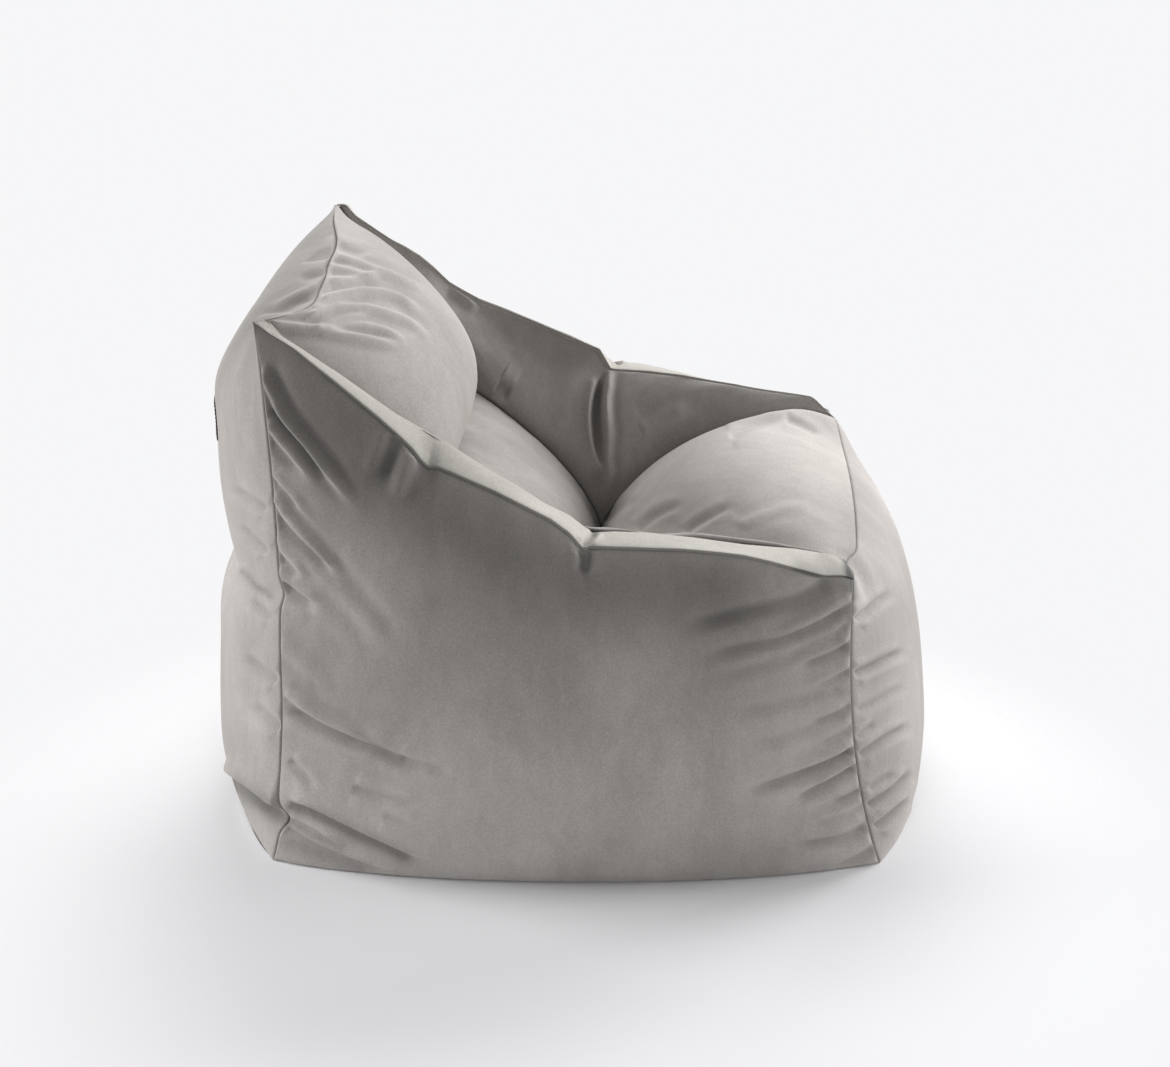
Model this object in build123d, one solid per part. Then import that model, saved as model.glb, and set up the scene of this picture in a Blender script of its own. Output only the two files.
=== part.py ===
"""Bean bag armchair: a sewn velvet cover of shaped panels round a lined mass of foam beads, closed by a zip in
the base. Millimetres, +Z up, front towards -Y, origin under the middle of the overall box at floor level.

Every panel is a Bezier patch between its seams, given a crown. The cover's inner faces, the liner and the bead
mass are the same patches set further in, so that they nest inside one another.
"""

from build123d import *
import os

# Driving dimensions
BASE_DEPTH = 750.0          # between the back and front corner seams, at the floor
BACK_HALF_WIDTH = 365.0     # to the corner seams at the floor, at the back
FRONT_HALF_WIDTH = 338.0
CREST_HEIGHT = 672.0        # top corners of the backrest
CREST_HALF_WIDTH = 317.0
TIP_HEIGHT = 371.0          # front ends of the arms, level with the seat's front seam
TIP_HALF_WIDTH = 331.0
LUMBAR_HEIGHT = 420.0       # seam under the backrest's crown
CROOK_HEIGHT = 225.0        # lowest line of the seat, where it meets the lumbar panel
WAIST_HEIGHT = 345.0        # crease across the back panel
STRIP_WIDTH = 60.0          # flat strip along the top of each arm
STRIP_CREST_WIDTH = 18.0    # at its back end
STRIP_TIP_WIDTH = 60.0      # at its front end
FRAME_SHIFT_Y = -20.7       # centres the overall box on the origin

# Seams: the points that pull each one into its curve, as (half width, depth, height)
CREST_DEPTH = 368.0
TIP_DEPTH = -329.0
LUMBAR_END = (250.0, 175.0, LUMBAR_HEIGHT)
CROOK_END = (228.0, -5.0, CROOK_HEIGHT)
BACK_PULLS = ((352, 338, 210), (330, 348, 450))
FRONT_PULLS = ((337, -332, 120), (335, -328, 250))
ARM_PULLS = ((350, 240, 635), (385, 185, 458), (400, -118, 325), (362, -118, 480))
REST_PULLS = ((290, 325, 600), (262, 190, 510))
LUMBAR_PULLS = ((250, 110, 375), (240, 20, 300))
ROOT_PULLS = ((240, -60, 325), (262, -200, 405))

# Seams across the chair and along its sides bow by these amounts
BACK_TOP_BOW = (0, -45, 4)
BACK_BOTTOM_BOW = (0, 95, 0)
WAIST_BOW = (0, 96, -36)
FRONT_TOP_BOW = (0, -15, -2)
FRONT_BOTTOM_BOW = (0, -67, 0)
SIDE_BOTTOM_BOW = 55.0

# Fabrics
COVER_T = 2.0               # velvet with its backing
LINER_GAP = 1.0             # between the cover and the liner, and between the liner and the beads
LINER_T = 1.0
BASE_LIFT = 12.0            # the liner's floor, clear of the zip
SEAM_GAP = 0.6              # each panel stops this far short of its seam line

# Crowns of the panels, as pulls on the inner control points
SIDE_CROWN = 60.0
FRONT_LOW_CROWN = 58.0
FRONT_HIGH_CROWN = 86.0
BACK_UPPER_CROWN = 74.0
BACK_TOP_CROWN = 122.0
BACK_TOP_RISE = 52.0        # the back stands up behind its top seam
BACK_LOWER_CROWN = 47.0
BACKREST_CROWN = 72.0
LUMBAR_CROWN = 20.0
SEAT_CROWN = 50.0
INNER_ARM_CROWN = 30.0
STRIP_CROWN = 6.0
REST_FACING = Vector(0, -0.86, 0.51)    # the way the backrest faces
LUMBAR_FACING = Vector(0, -0.7, 0.7)

# Base and the zip in it, along X
BASE_GAP = 1.0              # between the base panels and the panels round them
ZIP_Y = 235.0
ZIP_LENGTH = 460.0          # of the teeth
ZIP_MID_Z = 6.5             # middle plane of the tapes
SLOT_HALF = 8.0             # half the slot between the base panels
HEM_WIDTH = 12.0            # folded edges that carry the tapes
TAPE_T = 0.8
TAPE_WIDTH = 17.0
TAPE_EDGE = 3.4             # from the centre line to the tape
TAPE_TAIL = 18.0            # tape past the last tooth
TOOTH_PITCH = 4.6
TOOTH_WIDTH = 1.9
TOOTH_REACH = 0.8           # past the centre line, between two teeth of the other row
TOOTH_T = 2.6
BEAD_WIDTH = 0.8            # corded edge of the tape, which holds the teeth
STOP_LENGTH = 4.0
STOP_T = 3.2

# Zip slider, with a lug in place of a pull tab
SLIDER_LENGTH = 14.0
SLIDER_WIDTH = 11.0
SLIDER_CORNER = 2.2
SLIDER_PLATE = 0.9
SLIDER_CLEARANCE = 0.5
FLANGE_WIDTH = 0.9
FLANGE_HEIGHT = 0.9
POST_LENGTH = 3.4
POST_WIDTH = 1.6
LUG_LENGTH = 7.0
LUG_WIDTH = 2.4
LUG_HEIGHT = 2.6
LUG_HOLE_R = 0.8

# Label patch on the back
LABEL_FROM, LABEL_TO = 0.27, 0.36       # across the back panel, as shares of its width
LABEL_LOW, LABEL_HIGH = 0.42, 0.55      # up the upper back, as shares of its height
LABEL_T = 1.4
LABEL_STANDOFF = 0.4
STITCH_LENGTH = 3.2
STITCH_STEP = 5.0
STITCH_R = 0.3
STITCH_MARGIN = 0.08                    # from the label's edge, as a share of its size

DEGREE = 5


# Bezier curves and nets, as lists of control points

def raised(points):
    """The same curve with DEGREE + 1 control points."""
    points = [Vector(p) for p in points]
    while len(points) <= DEGREE:
        n = len(points)
        inner = [points[i - 1] * (i / n) + points[i] * (1 - i / n) for i in range(1, n)]
        points = [points[0], *inner, points[-1]]
    return points


def bowed(start, end, bow):
    """A curve from start to end whose inner control points are all moved by bow."""
    line = raised([start, end])
    return [line[0], *[p + Vector(bow) for p in line[1:-1]], line[-1]]


def blossom(points, params):
    for t in params:
        points = [a * (1 - t) + b * t for a, b in zip(points, points[1:])]
    return points[0]


def piece_of(points, a, b):
    """The stretch of a curve from a to b, as a curve."""
    n = len(points) - 1
    return [blossom(points, [a] * (n - i) + [b] * i) for i in range(n + 1)]


def at(points, t):
    return blossom(points, [t] * (len(points) - 1))


def net_between(low, high, left, right):
    """Control net of the patch inside four curves: low and high run the same way, and so do left and right."""
    net = []
    for i in range(DEGREE + 1):
        u = i / DEGREE
        row = []
        for j in range(DEGREE + 1):
            v = j / DEGREE
            across = low[i] * (1 - v) + high[i] * v
            up = left[j] * (1 - u) + right[j] * u
            corners = (low[0] * (1 - u) + low[-1] * u) * (1 - v) + (high[0] * (1 - u) + high[-1] * u) * v
            row.append(across + up - corners)
        net.append(row)
    return net


def crowned(net, low_pull, high_pull=None):
    """The net with its inner control points moved, by low_pull near its low edge and high_pull near its high one."""
    low = Vector(low_pull)
    high = Vector(high_pull or low_pull)
    inner = range(1, DEGREE)
    result = [list(row) for row in net]
    for i in inner:
        for j in inner:
            share = (j - 1) / (DEGREE - 2)
            result[i][j] += low * (1 - share) + high * share
    return result


def trimmed(net, u0, u1, v0, v1):
    rows = [piece_of(row, v0, v1) for row in net]
    columns = [piece_of(list(column), u0, u1) for column in zip(*rows)]
    return [list(row) for row in zip(*columns)]


def net_point(net, u, v):
    return at([at(row, v) for row in net], u)


def edges_of(net):
    """The four border curves, in one way round."""
    return net[0], [row[-1] for row in net], net[-1][::-1], [row[0] for row in net][::-1]


def face(net):
    return Face.make_bezier_surface([[tuple(p) for p in row] for row in net])


def wall(edge_a, edge_b):
    """Ruled face between two curves."""
    return face([edge_a, edge_b])


def between(outer_nets, inner_nets):
    """Solid between two skins, each one net or two nets that share a border."""
    faces = [face(n) for n in [*outer_nets, *inner_nets]]
    outer_edges = [e for n in outer_nets for e in edges_of(n)]
    inner_edges = [e for n in inner_nets for e in edges_of(n)]
    for outer_edge, inner_edge in zip(outer_edges, inner_edges):
        if sum(same_curve(outer_edge, other) for other in outer_edges) == 1:
            faces.append(wall(outer_edge, inner_edge))
    return Solid(Shell(faces))


def block(x0, x1, y0, y1, z0, z1):
    size = (x1 - x0, y1 - y0, z1 - z0)
    return Pos((x0 + x1) / 2, (y0 + y1) / 2, (z0 + z1) / 2) * Box(*size)


def same_curve(a, b):
    close = 1e-6
    ends = (a[0] - b[0]).length + (a[-1] - b[-1]).length
    crossed = (a[0] - b[-1]).length + (a[-1] - b[0]).length
    return min(ends, crossed) < close and (at(a, 0.5) - at(b, 0.5)).length < close


# The seams and panels of the chair, set in by a distance

class Chair:
    """Seams and panel nets, set in by g from the outside of the cover."""

    def __init__(self, g):
        self.g = g
        self.back_share = self.strip_share(CREST_HALF_WIDTH, STRIP_CREST_WIDTH)
        self.front_share = self.strip_share(TIP_HALF_WIDTH, STRIP_TIP_WIDTH)
        self.sides = {-1: self.side_seams(-1), 1: self.side_seams(1)}
        right, left = self.sides[-1], self.sides[1]
        self.back_top = bowed(right["crest"], left["crest"], BACK_TOP_BOW)
        self.back_bottom = bowed(right["heel"], left["heel"], BACK_BOTTOM_BOW)
        self.front_top = bowed(right["tip"], left["tip"], FRONT_TOP_BOW)
        self.front_bottom = bowed(right["toe"], left["toe"], FRONT_BOTTOM_BOW)
        waist_ends = [at(side["back"], self.waist_share()) for side in (right, left)]
        self.waist_line = bowed(*waist_ends, WAIST_BOW)
        self.rest_top = piece_of(self.back_top, self.back_share, 1 - self.back_share)
        self.seat_front = piece_of(self.front_top, self.front_share, 1 - self.front_share)
        for sign, end in ((-1, 0), (1, -1)):
            self.add_arm_seams(self.sides[sign], sign, self.rest_top[end], self.seat_front[end])

    def strip_share(self, half_width, strip_width):
        """Share of a top seam that a strip's end takes. The strip narrows as its two edges are set in."""
        inner_half = half_width - strip_width + self.g
        return (1 - inner_half / (half_width - self.g)) / 2

    def waist_share(self):
        return WAIST_HEIGHT / CREST_HEIGHT

    def spot(self, sign, place, into):
        """A point on one side, moved by the inset in the direction that leads into the beads."""
        x, y, z = [p + i * self.g for p, i in zip(place, into)]
        return Vector(sign * x, y + FRAME_SHIFT_Y, z)

    def spots(self, sign, places, into):
        return [self.spot(sign, place, into) for place in places]

    def side_seams(self, sign):
        half = BASE_DEPTH / 2
        heel = self.spot(sign, (BACK_HALF_WIDTH, half, 0), (-1, -1, 0))
        toe = self.spot(sign, (FRONT_HALF_WIDTH, -half, 0), (-1, 1, 0))
        crest = self.spot(sign, (CREST_HALF_WIDTH, CREST_DEPTH, CREST_HEIGHT), (-1, -1, -3.6))
        tip = self.spot(sign, (TIP_HALF_WIDTH, TIP_DEPTH, TIP_HEIGHT), (-1, 1, -1))
        return {
            "heel": heel, "toe": toe, "crest": crest, "tip": tip,
            "back": raised([heel, *self.spots(sign, BACK_PULLS, (-1, -1, 0)), crest]),
            "front": raised([toe, *self.spots(sign, FRONT_PULLS, (-1, 1, 0)), tip]),
            "bottom": bowed(heel, toe, (sign * SIDE_BOTTOM_BOW, 0, 0)),
            "arm_out": [crest, *self.spots(sign, ARM_PULLS, (-1, 0, -1)), tip],
        }

    def add_arm_seams(self, side, sign, crest_in, tip_in):
        lumbar = self.spot(sign, LUMBAR_END, (1, 1, -0.3))
        crook = self.spot(sign, CROOK_END, (1, 0, -1.3))
        inner_edge = [(x - STRIP_WIDTH, y, z) for x, y, z in ARM_PULLS]
        side["lumbar"] = lumbar
        side["crook"] = crook
        side["arm_in"] = [crest_in, *self.spots(sign, inner_edge, (1, 0, -1)), tip_in]
        side["rest"] = raised([crest_in, *self.spots(sign, REST_PULLS, (1, 1, -0.5)), lumbar])
        side["lumbar_side"] = raised([lumbar, *self.spots(sign, LUMBAR_PULLS, (1, 1, -1)), crook])
        side["root"] = raised([crook, *self.spots(sign, ROOT_PULLS, (1, 0, -1)), tip_in])

    # Each panel's net

    def outer_side(self, sign):
        s = self.sides[sign]
        net = net_between(s["bottom"], s["arm_out"], s["back"], s["front"])
        return crowned(net, (sign * SIDE_CROWN, 0, 0))

    def strip(self, sign):
        s = self.sides[sign]
        back_end = piece_of(self.back_top, 0, self.back_share)
        front_end = piece_of(self.front_top, 0, self.front_share)
        if sign > 0:
            back_end = piece_of(self.back_top, 1 - self.back_share, 1)[::-1]
            front_end = piece_of(self.front_top, 1 - self.front_share, 1)[::-1]
        return crowned(net_between(s["arm_out"], s["arm_in"], back_end, front_end), (0, 0, STRIP_CROWN))

    def inner_arm(self, sign):
        s = self.sides[sign]
        net = net_between(s["lumbar_side"], s["arm_in"], s["rest"][::-1], s["root"])
        return crowned(net, (-sign * INNER_ARM_CROWN, 0, 0))

    def backrest(self):
        right, left = self.sides[-1], self.sides[1]
        line = raised([right["lumbar"], left["lumbar"]])
        net = net_between(line, self.rest_top, right["rest"][::-1], left["rest"][::-1])
        return crowned(net, REST_FACING * BACKREST_CROWN)

    def lumbar(self):
        right, left = self.sides[-1], self.sides[1]
        low = raised([right["crook"], left["crook"]])
        high = raised([right["lumbar"], left["lumbar"]])
        net = net_between(low, high, right["lumbar_side"][::-1], left["lumbar_side"][::-1])
        return crowned(net, LUMBAR_FACING * LUMBAR_CROWN)

    def seat(self):
        right, left = self.sides[-1], self.sides[1]
        back = raised([right["crook"], left["crook"]])
        return crowned(net_between(back, self.seat_front, right["root"], left["root"]), (0, 0, SEAT_CROWN))

    def front(self):
        right, left = self.sides[-1], self.sides[1]
        net = net_between(self.front_bottom, self.front_top, right["front"], left["front"])
        return crowned(net, (0, -FRONT_LOW_CROWN, 0), (0, -FRONT_HIGH_CROWN, 0))

    def back_lower(self):
        share = self.waist_share()
        sides = [piece_of(self.sides[sign]["back"], 0, share) for sign in (-1, 1)]
        return crowned(net_between(self.back_bottom, self.waist_line, *sides), (0, BACK_LOWER_CROWN, 0))

    def back_upper(self):
        share = self.waist_share()
        sides = [piece_of(self.sides[sign]["back"], share, 1) for sign in (-1, 1)]
        net = net_between(self.waist_line, self.back_top, *sides)
        return crowned(net, (0, BACK_UPPER_CROWN, 0), (0, BACK_TOP_CROWN, BACK_TOP_RISE))

    def floor_net(self):
        right, left = self.sides[-1], self.sides[1]
        return net_between(self.front_bottom, self.back_bottom, right["bottom"][::-1], left["bottom"][::-1])

    def closed(self, floor):
        """One closed solid of the whole outline, cut off level at floor, for the liner and the beads."""
        nets = [self.backrest(), self.lumbar(), self.seat(), self.front(), self.back_lower(), self.back_upper()]
        nets.append(self.floor_net())
        for sign in (-1, 1):
            nets += [self.outer_side(sign), self.strip(sign), self.inner_arm(sign)]
        below = block(-BASE_DEPTH, BASE_DEPTH, -BASE_DEPTH, BASE_DEPTH, -floor, floor)
        return Solid(Shell([face(net) for net in nets])) - below


outside = Chair(0)
inside = Chair(COVER_T)


# Cover

def window(net, shave):
    """The part of a patch that stops short of its seams on the sides in shave: back or right end, front or left
    end, low edge, high edge."""
    u_gap = SEAM_GAP / (net[0][2] - net[-1][2]).length
    v_gap = SEAM_GAP / (net[2][0] - net[2][-1]).length
    return u_gap * shave[0], 1 - u_gap * shave[1], v_gap * shave[2], 1 - v_gap * shave[3]


def panel(net_of, shave=(1, 1, 1, 1)):
    """One cover panel, as thick as the velvet."""
    outer, inner = net_of(outside), net_of(inside)
    share = window(outer, shave)
    return between([trimmed(outer, *share)], [trimmed(inner, *share)])


def back_panel():
    """Two patches that meet in the waist crease."""
    u0, u1, _, _ = window(outside.back_lower(), (1, 1, 0, 0))
    _, _, _, v1 = window(outside.back_upper(), (0, 0, 0, 1))
    skins = []
    for chair in (outside, inside):
        skins.append([trimmed(chair.back_lower(), u0, u1, 0, 1), trimmed(chair.back_upper(), u0, u1, 0, v1)])
    return between(*skins)


def cover_panels():
    parts = {}
    for name, sign in (("right", -1), ("left", 1)):
        parts[f"outer_side_panel_{name}"] = panel(lambda chair: chair.outer_side(sign), (1, 1, 0, 1))
        parts[f"arm_strip_{name}"] = panel(lambda chair: chair.strip(sign))
        parts[f"inner_arm_panel_{name}"] = panel(lambda chair: chair.inner_arm(sign))
    parts["backrest_panel"] = panel(Chair.backrest)
    parts["lumbar_panel"] = panel(Chair.lumbar)
    parts["seat_panel"] = panel(Chair.seat)
    parts["front_panel"] = panel(Chair.front, (1, 1, 0, 1))
    parts["back_panel"] = back_panel()
    return parts


# Base

def base_plate():
    """The whole floor of the cover, inside the panels that stand round it."""
    net = Chair(COVER_T + BASE_GAP).floor_net()
    outline = Wire([Edge.make_bezier(*edge) for edge in edges_of(net)])
    return extrude(Face(outline), COVER_T, dir=(0, 0, 1))


def base_pieces():
    plate = base_plate()
    reach = BASE_DEPTH
    hem_half = ZIP_LENGTH / 2 + TAPE_TAIL
    hem_top = ZIP_MID_Z - TAPE_T / 2
    parts = {}
    for name, sign in (("front", -1), ("rear", 1)):
        low, high = sorted((ZIP_Y + sign * SLOT_HALF, ZIP_Y + sign * reach))
        half = plate & block(-reach, reach, low, high, 0, COVER_T)
        hem_low, hem_high = sorted((ZIP_Y + sign * SLOT_HALF, ZIP_Y + sign * (SLOT_HALF + HEM_WIDTH)))
        parts[f"base_panel_{name}"] = half + block(-hem_half, hem_half, hem_low, hem_high, 0, hem_top)
    for name, sign in (("right", -1), ("left", 1)):
        low, high = sorted((sign * (hem_half - STOP_LENGTH), sign * reach))
        slot = SLOT_HALF - SEAM_GAP
        parts[f"zip_end_tab_{name}"] = plate & block(low, high, ZIP_Y - slot, ZIP_Y + slot, 0, COVER_T)
    return parts


# Zip

def tooth_count():
    return int(ZIP_LENGTH // TOOTH_PITCH)


def teeth_row(sign):
    """Teeth on a corded edge. The two rows are half a pitch apart, so that they mesh."""
    z0, z1 = ZIP_MID_Z - TOOTH_T / 2, ZIP_MID_Z + TOOTH_T / 2
    edge, reach = ZIP_Y + sign * TAPE_EDGE, ZIP_Y - sign * TOOTH_REACH
    bead_in = edge - sign * BEAD_WIDTH
    half = ZIP_LENGTH / 2
    bead = block(-half, half, *sorted((edge, bead_in)), ZIP_MID_Z - TAPE_T / 2, ZIP_MID_Z + TAPE_T / 2)
    teeth = []
    for i in range(tooth_count()):
        x = -half + TOOTH_PITCH * (i + 0.5 + 0.25 * sign)
        teeth.append(block(x - TOOTH_WIDTH / 2, x + TOOTH_WIDTH / 2, *sorted((edge, reach)), z0, z1))
    return bead.fuse(*teeth)


def zip_tape(sign):
    half = ZIP_LENGTH / 2 + TAPE_TAIL
    low, high = sorted((ZIP_Y + sign * TAPE_EDGE, ZIP_Y + sign * (TAPE_EDGE + TAPE_WIDTH)))
    return block(-half, half, low, high, ZIP_MID_Z - TAPE_T / 2, ZIP_MID_Z + TAPE_T / 2)


def end_stops():
    """One stop across both rows at the right end, and one on each row at the left end, past the slider."""
    z0, z1 = ZIP_MID_Z - STOP_T / 2, ZIP_MID_Z + STOP_T / 2
    near = -ZIP_LENGTH / 2
    far = slider_centre() + SLIDER_LENGTH / 2 + SLIDER_CLEARANCE
    stops = [block(near - STOP_LENGTH, near, ZIP_Y - TAPE_EDGE, ZIP_Y + TAPE_EDGE, z0, z1)]
    for sign in (-1, 1):
        low, high = sorted((ZIP_Y + sign * TAPE_EDGE, ZIP_Y + sign * SLIDER_CLEARANCE))
        stops.append(block(far, far + STOP_LENGTH, low, high, z0, z1))
    return Compound(children=stops)


def slider_centre():
    """The closed zip's slider, its post just past the last tooth."""
    return ZIP_LENGTH / 2 - SLIDER_LENGTH / 2 + POST_LENGTH + 2 * SLIDER_CLEARANCE


def zip_slider():
    x = slider_centre()
    inner = TOOTH_T / 2 + SLIDER_CLEARANCE
    outer = inner + SLIDER_PLATE
    plate = extrude(RectangleRounded(SLIDER_LENGTH, SLIDER_WIDTH, SLIDER_CORNER), SLIDER_PLATE)
    solid = Pos(0, 0, inner) * plate + Pos(0, 0, -outer) * plate
    post_x = SLIDER_LENGTH / 2 - POST_LENGTH / 2
    solid += Pos(post_x, 0, 0) * Box(POST_LENGTH, POST_WIDTH, 2 * outer)
    flange_y = SLIDER_WIDTH / 2 - FLANGE_WIDTH / 2
    flange_z = inner - FLANGE_HEIGHT / 2
    flange = Box(SLIDER_LENGTH - 2 * SLIDER_CORNER, FLANGE_WIDTH, FLANGE_HEIGHT)
    for sy in (-1, 1):
        for sz in (-1, 1):
            solid += Pos(0, sy * flange_y, sz * flange_z) * flange
    lug = Pos(0, 0, -outer - LUG_HEIGHT / 2) * Box(LUG_LENGTH, LUG_WIDTH, LUG_HEIGHT)
    hole = Pos(0, 0, -outer - LUG_HEIGHT / 2) * Rot(90, 0, 0) * Cylinder(LUG_HOLE_R, 2 * LUG_WIDTH)
    return Pos(x, ZIP_Y, ZIP_MID_Z) * (solid + lug - hole)


def zip_pieces():
    parts = {"zip_slider": zip_slider(), "zip_end_stops": end_stops()}
    for name, sign in (("front", -1), ("rear", 1)):
        parts[f"zip_tape_{name}"] = zip_tape(sign)
        parts[f"zip_teeth_{name}"] = teeth_row(sign)
    return parts


# Label

def label_net():
    return trimmed(outside.back_upper(), LABEL_FROM, LABEL_TO, LABEL_LOW, LABEL_HIGH)


def label_normal(net):
    across = net_point(net, 0.6, 0.5) - net_point(net, 0.4, 0.5)
    up = net_point(net, 0.5, 0.6) - net_point(net, 0.5, 0.4)
    return up.cross(across).normalized()


def moved(net, shift):
    return [[p + shift for p in row] for row in net]


def label_patch():
    net = label_net()
    normal = label_normal(net)
    return between([moved(net, normal * (LABEL_STANDOFF + LABEL_T))], [moved(net, normal * LABEL_STANDOFF)])


def label_stitching():
    """A row of stitches just inside the label's edge."""
    net = label_net()
    lift = label_normal(net) * (LABEL_STANDOFF + LABEL_T + 1.5 * STITCH_R)
    low, high = STITCH_MARGIN, 1 - STITCH_MARGIN
    corners = [(low, low), (high, low), (high, high), (low, high)]
    stitches = []
    for (u0, v0), (u1, v1) in zip(corners, corners[1:] + corners[:1]):
        start, end = net_point(net, u0, v0), net_point(net, u1, v1)
        count = int((end - start).length // STITCH_STEP)
        for i in range(count):
            t = (i + 0.5) / count
            u, v = u0 + (u1 - u0) * t, v0 + (v1 - v0) * t
            spot = net_point(net, u, v) + lift
            along = (end - start).normalized()
            plane = Plane(origin=spot - along * (STITCH_LENGTH / 2), z_dir=along)
            stitches.append(extrude(plane * Circle(STITCH_R), STITCH_LENGTH))
    return Compound(children=stitches)


# Inside

def inner_liner():
    outer = Chair(COVER_T + LINER_GAP).closed(BASE_LIFT)
    inner = Chair(COVER_T + LINER_GAP + LINER_T).closed(BASE_LIFT + LINER_T)
    return outer - inner


def bead_fill():
    return Chair(COVER_T + 2 * LINER_GAP + LINER_T).closed(BASE_LIFT + LINER_T + LINER_GAP)


def main():
    parts = cover_panels()
    parts.update(base_pieces())
    parts.update(zip_pieces())
    parts["label_patch"] = label_patch()
    parts["label_stitching"] = label_stitching()
    parts["inner_liner"] = inner_liner()
    parts["bead_fill"] = bead_fill()
    os.makedirs("parts", exist_ok=True)
    for name, solid in parts.items():
        export_step(solid, f"parts/{name}.step")


if __name__ == "__main__":
    main()
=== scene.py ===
"""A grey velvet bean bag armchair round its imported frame: the sewn cover, its zip and the beads inside."""
import math

import bpy
import numpy as np
from mathutils import Matrix, Vector, kdtree


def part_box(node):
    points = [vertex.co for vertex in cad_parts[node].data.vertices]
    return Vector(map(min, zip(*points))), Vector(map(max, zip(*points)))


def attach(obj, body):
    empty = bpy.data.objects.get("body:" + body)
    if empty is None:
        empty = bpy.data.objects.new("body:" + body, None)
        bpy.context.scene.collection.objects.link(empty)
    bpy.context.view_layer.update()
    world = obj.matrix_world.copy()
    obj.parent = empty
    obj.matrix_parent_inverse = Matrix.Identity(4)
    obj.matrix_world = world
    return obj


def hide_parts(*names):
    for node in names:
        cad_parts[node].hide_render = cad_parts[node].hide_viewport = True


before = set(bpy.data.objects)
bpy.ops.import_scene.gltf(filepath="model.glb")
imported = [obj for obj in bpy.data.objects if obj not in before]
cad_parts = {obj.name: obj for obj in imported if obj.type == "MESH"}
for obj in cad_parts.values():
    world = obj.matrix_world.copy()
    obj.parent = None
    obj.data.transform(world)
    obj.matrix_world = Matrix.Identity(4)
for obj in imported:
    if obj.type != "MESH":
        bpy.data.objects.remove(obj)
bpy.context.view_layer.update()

# Photograph: its size in pixels, and the camera that took it
PHOTO_WIDTH, PHOTO_HEIGHT = 1170, 1067
CAMERA_PLACE = (-2.8587, -0.1747, 1.3704)
CAMERA_PITCH, CAMERA_YAW, CAMERA_ROLL = 20.497, 3.183, -0.256
CAMERA_FOCAL_PX = 2304.9
SENSOR_WIDTH = 36.0

# Corners of the cover's seams on the sitter's left, in metres. The other side is its mirror image.
HEEL = (0.365, 0.3543, 0.0)
TOE = (0.338, -0.3957, 0.0)
CREST = (0.317, 0.3473, 0.672)
TIP = (0.331, -0.3497, 0.371)
LUMBAR_END = (0.250, 0.1543, 0.420)
CROOK_END = (0.228, -0.0257, 0.225)
WAIST_HEIGHT = 0.345
WAIST = WAIST_HEIGHT / CREST[2]
STRIP_WIDTH, STRIP_CREST_WIDTH, STRIP_TIP_WIDTH = 0.060, 0.018, 0.060
BACK_SHARE = STRIP_CREST_WIDTH / CREST[0] / 2  # of the back's top edge that each strip's end takes
FRONT_SHARE = STRIP_TIP_WIDTH / TIP[0] / 2  # of the front's

# Points that pull each seam between its corners
BACK_PULLS = ((0.352, 0.3173, 0.210), (0.330, 0.3273, 0.450))
FRONT_PULLS = ((0.337, -0.3527, 0.120), (0.335, -0.3487, 0.250))
ARM_PULLS = (
    (0.350, 0.2193, 0.635), (0.385, 0.1643, 0.458), (0.400, -0.1387, 0.325), (0.362, -0.1387, 0.480),
)
REST_PULLS = ((0.290, 0.3043, 0.600), (0.262, 0.1693, 0.510))
LUMBAR_PULLS = ((0.250, 0.0893, 0.375), (0.240, -0.0007, 0.300))
ROOT_PULLS = ((0.240, -0.0807, 0.325), (0.262, -0.2207, 0.405))

# How far seams bow and panels swell
BACK_TOP_BOW, BACK_BOTTOM_BOW, WAIST_BOW = (0, -0.045, 0.004), (0, 0.095, 0), (0, 0.096, -0.036)
FRONT_TOP_BOW, FRONT_BOTTOM_BOW, SIDE_BOTTOM_BOW = (0, -0.015, -0.002), (0, -0.067, 0), 0.055
SIDE_CROWN, STRIP_CROWN, INNER_ARM_CROWN, INNER_ARM_HOLLOW = 0.060, 0.002, 0.030, 0.012
BACKREST_CROWN, LUMBAR_CROWN, SEAT_CROWN = (0, -0.062, 0.037), (0, -0.014, 0.014), (0, 0, 0.050)
FRONT_CROWN_LOW, FRONT_CROWN_HIGH = (0, -0.058, 0), (0, -0.086, 0)
BACK_LOWER_CROWN = (0, 0.047, 0)
BACK_UPPER_CROWN_LOW, BACK_UPPER_CROWN_HIGH = (0, 0.074, 0), (0, 0.122, 0.052)

# Cloth that is simulated
DEGREE = 5  # of the seams' curves and the panels' nets
CELL = 0.010
ARM_RUN, STRIP_RUN, REST_RUN, SEAT_RUN, BACK_RUN = 0.92, 0.064, 0.40, 0.58, 0.60  # divided into cells
WELD = 0.0002  # points of two panels closer than this are one
TINY = 1e-12
SIDES = (("right", -1), ("left", 1))
TURNED_PANELS = (  # their nets run the other way round, so that their faces would face in
    "back_panel", "inner_arm_panel_right", "outer_side_panel_left", "arm_strip_left", "seat_panel",
)

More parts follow.
